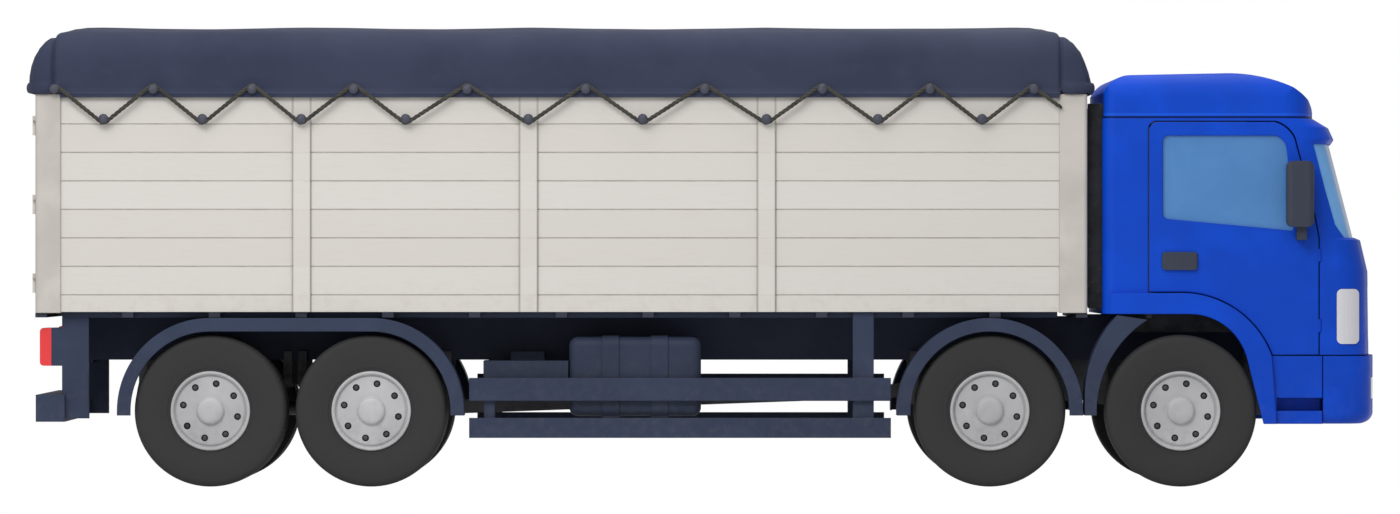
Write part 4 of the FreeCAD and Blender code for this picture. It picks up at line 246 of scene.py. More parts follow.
def cover_cloth():
    """Coated cover cloth on the piece's own map in metres: a tight weave, faint creases and slow changes of tone."""
    cloth = Finish("cover_cloth", (56, 62, 85), 0.68, "cloth")
    cloth.set(specular_ior_level=0.15, sheen_weight=0.03, sheen_roughness=0.5)
    weave = cloth.crossed((150.0, "X"), (150.0, "Y"))
    slow = cloth.noise(0.8, 4.0, 0.6)
    cloth.tint(cloth.ramp(slow, 0.38, 0.62), (50, 56, 78), 0.8)
    cloth.mottle((68, 74, 97), 0.35, 0.52, 0.78, 3.0, 5.0, 0.7, (1.0, 2.0, 1.0))
    cloth.tint(cloth.ramp(weave, 0.55, 0.95), (66, 72, 95), 0.25)
    cloth.relief(cloth.noise(2.2, 5.0, 0.55, (0.5, 1.6, 1.0), 0.8), 0.010, 0.35)
    cloth.relief(weave, 0.0012, 0.55)
    cloth.gloss(slow, 0.60, 0.74)
    return cloth.material


def rope_fibre():
    """Dark rope strands: fibres run along each strand."""
    fibre = Finish("rope_fibre", (56, 55, 50), 0.78)
    hairs = fibre.noise(260.0, 4.0, 0.7, (0.6, 1.6, 1.6))
    fibre.tint(fibre.ramp(hairs, 0.42, 0.62), (84, 81, 72), 0.6)
    fibre.mottle((40, 39, 36), 0.6, 0.45, 0.7, 9.0)
    fibre.relief(hairs, 0.0012, 0.8)
    return fibre.material


def thread_fibre():
    """Pale grey stitching thread, a little soiled."""
    thread = Finish("thread_fibre", (98, 104, 124), 0.8)
    thread.mottle((78, 84, 104), 0.7, 0.4, 0.7, 30.0)
    thread.relief(thread.noise(400.0, 2.0), 0.0006, 0.6)
    return thread.material


def knob_iron():
    """Painted iron of the lashing pins, rubbed bright where the rope runs."""
    iron = Finish("knob_iron", (58, 61, 76), 0.46)
    iron.soften(0.004)
    iron.mottle((104, 106, 116), 0.4, 0.56, 0.72, 34.0, 5.0, 0.7)
    iron.gloss(iron.noise(20.0, 4.0), 0.40, 0.56)
    iron.relief(iron.noise(90.0), 0.0006, 0.5)
    return iron.material


def tinted_glass(name, colour, depth):
    """Sky-tinted safety glass with a faint haze of dust."""
    pane = Finish(name, colour, 0.14)
    pane.set(transmission_weight=depth, ior=1.48, specular_ior_level=0.3, coat_weight=0.15, coat_roughness=0.05)
    haze = pane.noise(3.0, 5.0, 0.65)
    pane.tint(pane.ramp(haze, 0.4, 0.7), shade(colour, 1.0, 10), 0.5)
    pane.gloss(haze, 0.10, 0.20)
    return pane.material


def dark_plastic():
    """Moulded dark plastic with a fine leathery grain."""
    plastic = Finish("dark_plastic", (54, 60, 74), 0.55)
    plastic.set(specular_ior_level=0.25)
    plastic.soften(0.008)
    plastic.mottle((62, 68, 82), 0.5, 0.4, 0.7, 3.0, 4.0)
    plastic.gloss(plastic.noise(8.0, 4.0), 0.48, 0.62)
    cells = plastic.add("ShaderNodeTexVoronoi", {"Vector": plastic.place, "Scale": 320.0})["Distance"]
    plastic.relief(cells, 0.0006, 0.5)
    return plastic.material


def lamp_lens(name, colour, ribs):
    """Moulded lens: fine crossed ribs below a clear skin."""
    lens = Finish(name, colour, 0.16)
    lens.set(coat_weight=0.6, coat_roughness=0.06)
    grid = lens.crossed((ribs, "Y"), (ribs * 0.6, "Z"))
    lens.tint(lens.ramp(grid, 0.1, 0.8), shade(colour, 0.93), 0.4)
    lens.gloss(lens.noise(12.0), 0.12, 0.22)
    lens.relief(grid, 0.0008, 0.3)
    return lens.material


def deck_planks():
    """Worn deck boards that run along the body, on painted bearers."""
    wood = Finish("deck_planks", (126, 106, 82), 0.72)
    own, from_middle = wood.strips("Y", 0.0, PLANK_WIDTH)
    wood.tint(own, (106, 88, 68), 0.8)
    grain = wood.noise(6.0, 9.0, 0.65, (0.8, 12.0, 12.0), 0.6)
    wood.tint(wood.ramp(grain, 0.42, 0.66), (84, 68, 50), 0.7)
    joint = wood.ramp(from_middle, 0.47, 0.495)
    wood.tint(joint, (38, 32, 26), 0.9)
    wood.tint(wood.ramp(wood.part("Z"), BEARER_TOP, BEARER_TOP + 0.003, 1.0, 0.0), (38, 43, 58))
    wood.gloss(grain, 0.62, 0.82)
    wood.relief(grain, 0.003, 0.6)
    wood.relief(wood.maths("SUBTRACT", 1.0, joint), 0.006, 0.8)
    return wood.material


def greasy_iron(name, colour):
    """Cast and forged running gear: rough skin, oil film and dust."""
    iron = Finish(name, colour, 0.58)
    iron.soften(0.006)
    iron.set(metallic=0.35)
    film = iron.noise(5.0, 6.0, 0.65)
    iron.tint(iron.ramp(film, 0.45, 0.7), shade(colour, 0.6), 0.7)
    iron.mottle((112, 98, 80), 0.35, 0.55, 0.8, 18.0, 6.0, 0.7)
    iron.gloss(film, 0.45, 0.75)
    iron.relief(iron.noise(70.0, 5.0, 0.6), 0.0022, 0.6)
    return iron.material


def seat_cloth():
    """Woven seat cloth in a dark grey twill."""
    cloth = Finish("seat_cloth", (62, 66, 76), 0.85)
    cloth.set(sheen_weight=0.4, sheen_roughness=0.4)
    weave = cloth.crossed((190.0, "DIAGONAL"), (190.0, "Y"))
    cloth.tint(cloth.ramp(weave, 0.3, 0.8), (88, 92, 104), 0.5)
    cloth.mottle((50, 54, 62), 0.5, 0.45, 0.7, 5.0, 4.0)
    cloth.relief(weave, 0.0012, 0.6)
    cloth.relief(cloth.noise(12.0, 4.0), 0.004, 0.3)
    return cloth.material


PAINT_CAB = sprayed("cab_enamel", (6, 72, 202), 0.42, 0.016, 0.16, dust_top=1.2, dust_share=0.08, seam=ROOF_SEAM)
PAINT_CHASSIS = sprayed("chassis_enamel", (49, 57, 77), 0.52, 0.010, 0.15, dust_share=0.14)
PAINT_GUARD = sprayed("guard_enamel", (54, 63, 86), 0.52, 0.014, 0.15, dust_share=0.12)
PAINT_RIM = sprayed("rim_enamel", (186, 186, 188), 0.44, 0.005, 0.35, (96, 90, 82), 0.9, 0.22)
PAINT_POST = sprayed("post_enamel", (199, 194, 187), 0.50, 0.016, 0.15, (150, 143, 130), 2.2, 0.12)
PAINT_BOARD = board_enamel()
RUBBER = tyre_rubber()
COVER = cover_cloth()
ROPE = rope_fibre()
KNOB = knob_iron()
GLASS = tinted_glass("door_glass", (84, 140, 202), 0.14)
# The windscreen takes the door glass made lighter and less clear: painted light on its slanted face.
SCREEN_GLASS_PAINTED_LIGHT = tinted_glass("screen_glass", (112, 174, 236), 0.06)
TRIM = dark_plastic()
RED_LENS = lamp_lens("red_lens", (232, 50, 52), 60.0)
CLEAR_LENS = lamp_lens("clear_lens", (214, 214, 220), 40.0)
DECK = deck_planks()
IRON = greasy_iron("forged_iron", (70, 70, 74))
ENGINE_IRON = greasy_iron("engine_iron", (86, 88, 92))
# The insides of the nut sockets: greasy iron with its oil film, its dark tone a painted shade in the recesses.
SOCKET_SHADE_IRON = greasy_iron("socket_iron", (36, 36, 39))
NUT_IRON = greasy_iron("nut_iron", (74, 75, 79))
THREAD = thread_fibre()
RUBBER_SHEET = greasy_iron("curtain_rubber", (30, 32, 38))
SEAT = seat_cloth()

# The finish of each kind of solid, its side and axle left out of its name.
NODE_FINISHES = {kind: finish for finish, kinds in (
    (PAINT_CAB, "cab_shell cab_roof front_bumper cab_steps cab_fenders door"), (PAINT_BOARD, "body_walls rear_door"),
    (PAINT_CHASSIS, "frame_rails frame_crossmembers fuel_tanks lockers"), (PAINT_POST, "corner_posts"),
    (PAINT_GUARD, "side_guards mudguards rear_underrun"), (PAINT_RIM, "wheel"), (RUBBER, "tyre"),
    (IRON, "springs steer_axles drive_line knuckle tie_rod"), (ENGINE_IRON, "engine"), (DECK, "load_deck"),
    (KNOB, "roof_bows lashing_knobs"), (ROPE, "lashing_rope"), (COVER, "tarpaulin"), (SEAT, "seats"),
    (TRIM, "grille dashboard door_fittings"), (GLASS, "door_glass"), (SCREEN_GLASS_PAINTED_LIGHT, "windscreen"),
    (RED_LENS, "tail_lamps"), (CLEAR_LENS, "headlamps")) for kind in kinds.split()}


def finish_nodes():
    """Gives every solid its finish."""
    for name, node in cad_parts.items():
        kind = "_".join(word for word in name.split("_") if word not in (*SIDES, *AXLES))
        for slot in node.material_slots:
            slot.material = NODE_FINISHES[kind]


# Pieces. Each rides on its body; where one stands for a solid, that solid is hidden.

def put(name, data):
    """A new object in the scene."""
    thing = bpy.data.objects.new(name, data)
    bpy.context.collection.objects.link(thing)
    return thing


def piece(data, body, slot, finish=None, solids=()):
    """Puts a mesh on a body as a finished piece with the mesh's own name."""
    thing = put(data.name, data)
    if finish:
        data.materials.clear()
        data.materials.append(finish)
    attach(thing, body)
    if solids:
        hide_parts(*solids)
    return thing


def mesh_data(name, shape):
    """Mesh data from a bmesh, shaded smooth."""
    data = bpy.data.meshes.new(name)
    shape.to_mesh(data)
    shape.free()
    for face in data.polygons:
        face.use_smooth = True
    return data


def smooth_mesh(name, shape, crease=35.0):
    """Mesh data from a bmesh: doubles merged, faces outwards, smooth but for its sharp edges."""
    bmesh.ops.remove_doubles(shape, verts=shape.verts, dist=0.00005)
    bmesh.ops.recalc_face_normals(shape, faces=shape.faces)
    data = mesh_data(name, shape)
    data.set_sharp_from_angle(angle=math.radians(crease))
    return data


def lengths(line):
    """How far along a line of (across, up) places each of them lies."""
    run = [0.0]
    for (x0, z0), (x1, z1) in zip(line, line[1:]):
        run.append(run[-1] + math.hypot(x1 - x0, z1 - z0))
    return run


def bridge(shape, rings):
    """Faces from each closed ring of points to the next, where the last may be one point; gives them row by row."""
    rows = []
    for near, far in zip(rings, rings[1:]):
        row = []
        for step in range(len(near)):
            after = (step + 1) % len(near)
            corners = (near[step], near[after], far[after % len(far)], far[step % len(far)])
            row.append(shape.faces.new(list(dict.fromkeys(corners))))
        rows.append(row)
    return rows


def turned_ring(shape, profile, middle, centre, side, steps, layer=None, closed=False):
    """Turns a profile of (radius, out from the middle) about a wheel axis; the layer maps it round and along."""
    rings = []
    for radius, out in profile:
        ring = []
        for step in range(steps if radius else 1):
            angle = 2 * math.pi * step / steps
            place = (centre + radius * math.cos(angle), side * (middle + out), AXLE_HEIGHT + radius * math.sin(angle))
            ring.append(shape.verts.new(place))
        rings.append(ring)
    run = lengths(profile)
    pairs = [(index, index + 1) for index in range(len(rings) - 1)]
    if closed:
        pairs.append((len(rings) - 1, 0))
    for near, far in pairs:
        for step in range(steps):
            corners = {}
            for row, around in ((near, step), (near, step + 1), (far, step + 1), (far, step)):
                ring = rings[row]
                corners.setdefault(ring[around % len(ring)], (around / steps, run[row] / run[-1]))
            face = shape.faces.new(list(corners))
            if layer is not None:
                for loop, mark in zip(face.loops, corners.values()):
                    loop[layer].uv = mark


def wheel_places():
    """Every wheel's name, its place along the truck, its side, and how far out the middles of its tyres lie."""
    for axle, centre in AXLES.items():
        middles = [WHEEL_MIDDLE] if axle in STEER_AXLES else [WHEEL_MIDDLE, WHEEL_MIDDLE - TWIN_STEP]
        for side_name, side in SIDES.items():
            yield f"{axle}_{side_name}", centre, side, middles


# Half a tyre's section as (radius, offset from its middle), from the tread's middle round to the bead.
GROOVE = 0.011
TYRE_SECTION = [
    (0.6080, 0.0000), (0.6080, 0.0220), (0.6080 - GROOVE, 0.0250), (0.6080 - GROOVE, 0.0350), (0.6080, 0.0380),
    (0.6075, 0.0700), (0.6075 - GROOVE, 0.0730), (0.6075 - GROOVE, 0.0820), (0.6070, 0.0850), (0.6062, 0.1010),
    (0.6035, 0.1120), (0.5975, 0.1230), (0.5885, 0.1320), (0.5770, 0.1385), (0.5620, 0.1418), (0.5480, 0.1425),
    (0.5200, 0.1424), (0.4900, 0.1412), (0.4600, 0.1388), (0.4300, 0.1352), (0.4020, 0.1305), (0.3780, 0.1255),
    (0.3600, 0.1215), (0.3520, 0.1205), (0.3470, 0.1190), (0.3420, 0.1150), (0.3340, 0.1120), (0.3250, 0.1130),
    (0.3205, 0.1142), (0.3150, 0.1148), (0.3000, 0.1148),
]
TYRE_STEPS, WHEEL_STEPS = 144, 96


def tyres():
    """Tyres with a grooved tread, round shoulders and full side walls: single in front, twin behind."""
    section = [(radius, -offset) for radius, offset in reversed(TYRE_SECTION)] + TYRE_SECTION[1:]
    for wheel, centre, side, middles in wheel_places():
        shape = bmesh.new()
        layer = shape.loops.layers.uv.new("section")
        for middle in middles:
            turned_ring(shape, section, middle, centre, side, TYRE_STEPS, layer, closed=True)
        data = smooth_mesh(f"tyre_{wheel}_grooved", shape, 50.0)
        piece(data, f"wheel_{wheel}", "tyre", RUBBER, [f"tyre_{wheel}"])


# A wheel disc: how far out its face lies, the band that holds its nuts, and the sockets in that band.
DISC_FACE = WHEEL_MIDDLE + 0.1005
BAND_INNER, BAND_OUTER = 0.178, 0.266
BAND_WIDTH = BAND_OUTER - BAND_INNER
NUT_CIRCLE, NUT_DEPTH = 0.222, 0.008
NUT_ANGLES = [math.radians(78.0 + 45.0 * index) for index in range(8)]
SOCKET_RADIUS, SOCKET_DEPTH, SOCKET_LIP = 0.0262, 0.014, 0.0015
# Profiles as (radius, out): three from the disc's face, and the inner twin rim from its tyre's middle.
CAP_PROFILE = [
    (0.0000, 0.0380), (0.0300, 0.0380), (0.0550, 0.0375), (0.0780, 0.0360), (0.0940, 0.0320), (0.1045, 0.0245),
    (0.1095, 0.0150), (0.1110, 0.0055), (0.1125, 0.0010), (0.1160, -0.0012), (0.1210, -0.0012), (0.1280, 0.0002),
    (0.1500, 0.0002), (0.1780, 0.0000),
]
RIM_PROFILE = [
    (0.2660, 0.0000), (0.2715, -0.0010), (0.2765, -0.0042), (0.2800, -0.0085), (0.2832, -0.0102),
    (0.2862, -0.0080), (0.2885, -0.0010), (0.2905, 0.0120), (0.2940, 0.0215), (0.2990, 0.0262), (0.3060, 0.0275),
    (0.3130, 0.0265), (0.3170, 0.0225), (0.3180, 0.0175), (0.3165, 0.0148), (0.2998, 0.0146), (0.2998, -0.2150),
    (0.3175, -0.2152), (0.3175, -0.2280), (0.2885, -0.2285), (0.2880, -0.0165),
]
SINGLE_BACK = [(0.205, -0.0165), (0.205, -0.1070), (0.0470, -0.1070), (0.0470, -0.0210), (0.0, -0.0210)]
TWIN_BACK = [(0.130, -0.0165), (0.130, -0.3040), (0.082, -0.3040), (0.082, -0.0168), (0.0, -0.0168)]
INNER_RIM = [
    (0.3175, 0.1280), (0.3175, 0.1150), (0.2998, 0.1148), (0.2998, -0.1148), (0.3175, -0.1150), (0.3175, -0.1280),
    (0.2880, -0.1280), (0.2880, -0.1152), (0.1310, -0.1152), (0.1310, -0.0992), (0.2050, -0.0990),
    (0.2050, -0.0210), (0.2880, -0.0205), (0.2880, 0.1280),
]


def disc_with_sockets(shape, centre, side):
    """The band of a wheel disc that holds the nut sockets; their insides take the second finish, darkened as painted
    shade.
    """
    along, across, half = 12, 6, math.pi / 8

    def spot(x, z, sunk):
        return shape.verts.new((centre + x, side * (DISC_FACE - sunk), AXLE_HEIGHT + z))

    for base in NUT_ANGLES:
        border = [(BAND_INNER, base - half + 2 * half * step / along) for step in range(along)]
        border += [(BAND_INNER + BAND_WIDTH * step / across, base + half) for step in range(across)]
        border += [(BAND_OUTER, base + half - 2 * half * step / along) for step in range(along)]
        border += [(BAND_OUTER - BAND_WIDTH * step / across, base - half) for step in range(across)]
        border = [(radius * math.cos(angle), radius * math.sin(angle)) for radius, angle in border]
        hub = (NUT_CIRCLE * math.cos(base), NUT_CIRCLE * math.sin(base))
        rows = [[spot(x, z, 0.0) for x, z in border]]
        for share, sunk in ((0.4, 0.0), (0.75, 0.0), (1.0, 0.0008), (1.0, SOCKET_DEPTH)):
            reach = SOCKET_RADIUS + (0.0 if sunk == SOCKET_DEPTH else SOCKET_LIP)
            row = []
            for x, z in border:
                goal = Vector(hub) + Vector((x - hub[0], z - hub[1])).normalized() * reach
                row.append(spot(*Vector((x, z)).lerp(goal, share), sunk))
            rows.append(row)
        rows.append([spot(*hub, SOCKET_DEPTH)])
        for row in bridge(shape, rows)[3:]:
            for face in row:
                face.material_index = 1


def wheels():
    """Pressed wheels: a domed cap, a disc with nut sockets, a deep groove and a rolled flange."""
    for wheel, centre, side, middles in wheel_places():
        shape = bmesh.new()
        disc_with_sockets(shape, centre, side)
        for profile in (CAP_PROFILE, RIM_PROFILE + (TWIN_BACK if middles[1:] else SINGLE_BACK)):
            turned_ring(shape, profile, DISC_FACE, centre, side, WHEEL_STEPS)
        for middle in middles[1:]:
            turned_ring(shape, INNER_RIM, middle, centre, side, WHEEL_STEPS, closed=True)
        data = smooth_mesh(f"wheel_{wheel}_pressed", shape, 38.0)
        for finish in (PAINT_RIM, SOCKET_SHADE_IRON):
            data.materials.append(finish)
        piece(data, f"wheel_{wheel}", "rim_paint", None, [f"wheel_{wheel}"])


# What repeats or follows a path is grown by a geometry-node tree and kept as a plain mesh.

class Growth(Nodes):
    """A geometry-node tree with named inputs."""

    def __init__(self, name, **inputs):
        super().__init__(bpy.data.node_groups.new(name, "GeometryNodeTree"))
        sockets = self.tree.interface
        sockets.new_socket("Geometry", in_out="INPUT", socket_type="NodeSocketGeometry")
        self.keys = {}
        for label, value in inputs.items():
            socket = sockets.new_socket(label, in_out="INPUT", socket_type="NodeSocketFloat")
            socket.default_value = value
            self.keys[label] = socket.identifier
        sockets.new_socket("Geometry", in_out="OUTPUT", socket_type="NodeSocketGeometry")
        self.given = self.tree.nodes.new("NodeGroupInput").outputs
        self.result = self.tree.nodes.new("NodeGroupOutput")

    def joined(self, *parts):
        """Several geometries as one."""
        both = self.tree.nodes.new("GeometryNodeJoinGeometry")
        for part in parts:
            self.tree.links.new(part, both.inputs[0])
        return both.outputs[0]

    def end(self, geometry, finish):
        """Makes the copies real and gives them their finish."""
        real = self.add("GeometryNodeRealizeInstances", {"Geometry": geometry})[0]
        smooth = self.add("GeometryNodeSetShadeSmooth", {"Geometry": real, "Shade Smooth": True})[0]
        dressed = self.add("GeometryNodeSetMaterial", {"Geometry": smooth, "Material": finish})[0]
        self.tree.links.new(dressed, self.result.inputs[0])

    def grow(self, name, points, edges=(), crease=35.0, **values):
        """Runs the tree on some points and gives the mesh that it makes."""
        seed = bpy.data.meshes.new(f"{name}_path")
        seed.from_pydata([tuple(point) for point in points], list(edges), [])
        holder = put(f"{name}_path", seed)
        modifier = holder.modifiers.new("growth", "NODES")
        modifier.node_group = self.tree
        for label, value in values.items():
            modifier[self.keys[label]] = value
        graph = bpy.context.evaluated_depsgraph_get()
        data = bpy.data.meshes.new_from_object(holder.evaluated_get(graph))
        data.name = name
        data.set_sharp_from_angle(angle=math.radians(crease))
        holder.modifiers.remove(modifier)
        bpy.data.objects.remove(holder)
        return data


def nut_growth():
    """A chamfered hexagon nut with a stud end on each point, facing outwards along y."""
    tree = Growth("wheel_nut", width=0.034, height=0.0115, stud=0.0085, outward=-1.0)
    width, height, stud, outward = tree.given[1:5]
    corner = tree.maths("DIVIDE", width, 1.732)
    hexagon = tree.add("GeometryNodeMeshCylinder", {"Vertices": 6, "Radius": corner, "Depth": height})[0]
    chamfer = tree.add("GeometryNodeMeshCone", {"Vertices": 6, "Radius Bottom": corner, "Depth": 0.003,
                                                "Radius Top": tree.maths("MULTIPLY", corner, 0.82)})[0]
    lift = tree.add("ShaderNodeCombineXYZ", {"Z": tree.maths("MULTIPLY", height, 0.5)})[0]
    chamfer = tree.add("GeometryNodeTransform", {"Geometry": chamfer, "Translation": lift})[0]
    bolt = tree.add("GeometryNodeMeshCylinder", {"Vertices": 14, "Radius": stud,
                                                 "Depth": tree.maths("MULTIPLY", height, 1.9)})[0]
    turn = tree.add("ShaderNodeCombineXYZ", {"X": tree.maths("MULTIPLY", outward, -math.pi / 2)})[0]
    nut = tree.add("GeometryNodeTransform", {"Geometry": tree.joined(hexagon, chamfer, bolt), "Rotation": turn})[0]
    tree.end(tree.add("GeometryNodeInstanceOnPoints", {"Points": tree.given[0], "Instance": nut})[0], NUT_IRON)
    return tree


def wheel_nuts():
    """Eight nuts in the sockets of every wheel."""
    tree = nut_growth()
    for wheel, centre, side, _ in wheel_places():
        points = [(centre + NUT_CIRCLE * math.cos(angle), side * (DISC_FACE - NUT_DEPTH),
                   AXLE_HEIGHT + NUT_CIRCLE * math.sin(angle)) for angle in NUT_ANGLES]
        piece(tree.grow(f"nuts_{wheel}", points, outward=float(side)), f"wheel_{wheel}", "steel")


def chain(start, end):
    """Edges from point to point along a line."""
    return [(index, index + 1) for index in range(start, end - 1)]


# Lashing: hooks on the walls and eyelets on the cover, as x places along the side.
HOOKS = (-4.8130, -4.0225, -3.2320, -2.3966, -1.4160, -0.5021, 0.4880, 1.3787, 2.2108)
EYELETS = (-5.2082, -4.4177, -3.6272, -2.8143, -1.9063, -0.9590, -0.0070, 0.9334, 1.7948, 2.6269)
HOOK_LEVEL, EYELET_LEVEL = 2.944, 3.184
ROPE_SIDE, PIN_REACH = 1.292, 0.0315
ROPE_TAIL = ((2.812, 0.0, 3.058), (2.838, -0.014, 3.040), (2.846, -0.044, 3.034))


def lacing_route():
    """The rope's middle line: straight from pin to pin, round the far side of each, and into the front post."""
    pins = sorted([(x, 0.0, EYELET_LEVEL) for x in EYELETS] + [(x, 0.0, HOOK_LEVEL) for x in HOOKS])
    points, side = [], 1
    for start, end in zip(map(Vector, pins), map(Vector, pins[1:])):
        run = end - start
        slope = math.atan2(run.z, run.x) - side * math.asin(2 * PIN_REACH / run.length)
        aside = Vector((-math.sin(slope), 0.0, math.cos(slope))) * PIN_REACH * side
        if points:
            came = points[-1] - start
            for share in (0.2, 0.4, 0.6, 0.8):
                points.append(start + came.lerp(aside, share).normalized() * PIN_REACH)
        points += [start + aside, end - aside]
        side = -side
    return points + [Vector(place) for place in ROPE_TAIL]


def rope_growth():
    """Three strands laid round one another along a line in an upright plane."""
    tree = Growth("laid_rope", strand=0.0084, lay=0.0092, pitch=0.125, step=0.012)
    line = tree.add("GeometryNodeMeshToCurve", {"Mesh": tree.given[0]})[0]
    even = tree.add("GeometryNodeResampleCurve", {"Curve": line, "Length": tree.given["step"]}, mode="LENGTH")[0]
    three = tree.add("GeometryNodeDuplicateElements", {"Geometry": even, "Amount": 3}, domain="SPLINE")
    along = tree.add("GeometryNodeSplineParameter")["Length"]
    winding = tree.maths("DIVIDE", tree.maths("MULTIPLY", along, 2 * math.pi), tree.given["pitch"])
    turn = tree.maths("ADD", winding, tree.maths("MULTIPLY", three["Duplicate Index"], 2 * math.pi / 3))
    across = tree.add("ShaderNodeCombineXYZ", {"Y": 1.0})[0]
    tangent = tree.add("GeometryNodeInputTangent")[0]
    upward = tree.add("ShaderNodeVectorMath", {0: tangent, 1: across}, operation="CROSS_PRODUCT")[0]
    shifts = []
    for direction, wave in ((across, "COSINE"), (upward, "SINE")):
        amount = tree.maths("MULTIPLY", tree.maths(wave, turn), tree.given["lay"])
        shifts.append(tree.add("ShaderNodeVectorMath", {0: direction, "Scale": amount}, operation="SCALE")[0])
    shift = tree.add("ShaderNodeVectorMath", {0: shifts[0], 1: shifts[1]}, operation="ADD")[0]
    strands = tree.add("GeometryNodeSetPosition", {"Geometry": three["Geometry"], "Offset": shift})[0]
    ring = tree.add("GeometryNodeCurvePrimitiveCircle", {"Resolution": 7, "Radius": tree.given["strand"]})[0]
    tube = tree.add("GeometryNodeCurveToMesh", {"Curve": strands, "Profile Curve": ring, "Fill Caps": True})[0]
    tree.end(tube, ROPE)
    return tree


def lacing():
    """The rope that laces the cover down on both sides."""
    tree, route = rope_growth(), lacing_route()
    for side_name, side in SIDES.items():
        points = [(point.x, side * (ROPE_SIDE + point.y), point.z) for point in route]
        data = tree.grow(f"lacing_rope_{side_name}", points, chain(0, len(route)), 60.0)
        piece(data, "chassis", "rope", None, ["lashing_rope"])


# The cover: a fitted sheet over five hoops, with folded ears at its ends and a hem along its foot.
COVER_SIDE, COVER_FRONT, COVER_TOP = 1.262, 3.100, 3.707
SIDE_SHOULDER, REAR_SHOULDER, NOSE_SHOULDER = 0.230, 0.490, 0.560
CROWN, PLAN_CORNER = 0.052, 0.120
HEM_FOOT, EAR_FOOT = 3.116, 3.152
# Levels where the sheet leaves its shoulders, on the sides and at the ends, and the cloth turned in at its foot.
SIDE_EDGE, END_EDGE, HEM_TURN = 3.425, 3.204, 0.03
HOOPS = (-4.870, -3.232, -1.416, 0.488, 2.480)
REAR_FOLD, FRONT_FOLD = -5.220, 2.846
FLANK = COVER_SIDE - SIDE_SHOULDER
ROLL_HALF, ROLL_OUT = 0.042, 0.021
# Steps from the shoulders down to the hem.
FALLS = 7
# The flat band of the hem as (height above its foot, how far it stands out).
HEM_BAND = ((0.044, 0.0), (0.0435, 0.0055), (0.040, 0.0080), (0.030, 0.0086), (0.022, 0.0086), (0.014, 0.0086),
            (0.004, 0.0080), (0.0005, 0.0055), (0.0, 0.0))


def bend(radius, past):
    """How far a rounded edge has dropped, this far past the start of its round."""
    return radius - math.sqrt(max(0.0, radius ** 2 - min(max(past, 0.0), radius) ** 2))


def cover_level(x, y):
    """Height of the plain cover at a place in plan."""
    ends = bend(REAR_SHOULDER, REAR_END + REAR_SHOULDER - x) + bend(NOSE_SHOULDER, x - COVER_FRONT + NOSE_SHOULDER)
    sides = CROWN * min(1.0, (y / FLANK) ** 2) + bend(SIDE_SHOULDER, abs(y) - FLANK)
    return COVER_TOP - (ends ** 4 + sides ** 4) ** 0.25


def cover_stations():
    """Places along the cover: closer in its rounded ends, at its folds and where the hem steps up."""
    low, high = REAR_END + REAR_SHOULDER, COVER_FRONT - NOSE_SHOULDER
    places = {low + (high - low) * step / 132 for step in range(133)}
    for step in range(10):
        turn = math.cos(math.radians(step * 9.0))
        places |= {REAR_END + REAR_SHOULDER * (1 - turn), COVER_FRONT - NOSE_SHOULDER * (1 - turn)}
    marks = [fold + shift for fold in (REAR_FOLD, FRONT_FOLD) for shift in
             (-0.060, -0.042, -0.028, -0.019, -0.012, -0.006, 0.0, 0.006, 0.012, 0.019, 0.028, 0.042)]
    marks = sorted(marks + [WALL_REAR - 0.006, WALL_REAR, WALL_FRONT, WALL_FRONT + 0.006])
    marks = [mark for index, mark in enumerate(marks) if index == 0 or mark - marks[index - 1] > 0.003]
    return sorted(marks + [place for place in places if all(abs(place - mark) > 0.009 for mark in marks)])


def cover_columns():
    """Places across the cover, closer in its rounded sides."""
    half = [FLANK * step / 15 for step in range(1, 16)]
    half += [FLANK + SIDE_SHOULDER * math.sin(math.radians(step * 11.25)) for step in range(1, 9)]
    return [-place for place in reversed(half)] + [0.0] + half


def plan_place(x, y):
    """A grid place drawn in to the cover's rounded plan corners, and the way out from there."""
    centre_x = min(max(x, REAR_END + PLAN_CORNER), COVER_FRONT - PLAN_CORNER)
    centre_y = min(max(y, PLAN_CORNER - COVER_SIDE), COVER_SIDE - PLAN_CORNER)
    dx, dy = x - centre_x, y - centre_y
    if dx and dy:
        share = max(abs(dx), abs(dy)) / math.hypot(dx, dy)
        return centre_x + dx * share, centre_y + dy * share, Vector((dx, dy)).normalized()
    return x, y, Vector((dx, dy)).normalized() if dx or dy else Vector((0.0, 0.0))


def hoop_sag(x, y):
    """How far the roof sinks between its hoops."""
    for near, far in zip(HOOPS, HOOPS[1:]):
        if near < x < far:
            across = max(0.0, 1.0 - (abs(y) / (FLANK + 0.1)) ** 4)
            return 0.013 * math.sin(math.pi * (x - near) / (far - near)) ** 1.2 * across
    return 0.0


def cloth_shift(x, y, z, on_side):
    """How far the cloth stands off its plain form: sag, slow waves, tight folds at the ears and pulls at the rope."""
    shift = -hoop_sag(x, y)
    slow = noise.noise(Vector((x * 0.9, y * 0.8, z * 1.1)))
    fine = noise.noise(Vector((x * 3.1 + 7.0, y * 1.3, z * 1.9)))
    free = min(1.0, max(0.0, (z - 3.175) / 0.12))
    near_hoop = min(abs(x - hoop) for hoop in HOOPS) if abs(y) < FLANK else 1.0
    shift += (slow * 0.0060 + fine * 0.0020) * free * min(1.0, near_hoop * 3.0)
    if on_side:
        for fold, outward in ((REAR_FOLD, -1), (FRONT_FOLD, 1)):
            # The tuck itself, the ear that swells beyond it, and the ridge before it.
            away = (x - fold) * outward
            shift -= 0.021 * on_side * math.exp(-(away / 0.013) ** 2)
            if away > 0:
                shift += 0.015 * on_side * math.sin(math.pi * min(1.0, away / 0.20)) ** 0.6
            shift += 0.006 * on_side * math.exp(-((away + 0.045) / 0.024) ** 2)
        for pin in EYELETS:
            spread = 0.030 + 0.30 * max(0.0, z - EYELET_LEVEL)
            pull = math.exp(-((x - pin) / spread) ** 2) * max(0.0, 1.0 - (z - EYELET_LEVEL) / 0.22)
            shift -= 0.0022 * on_side * pull * free
    return shift


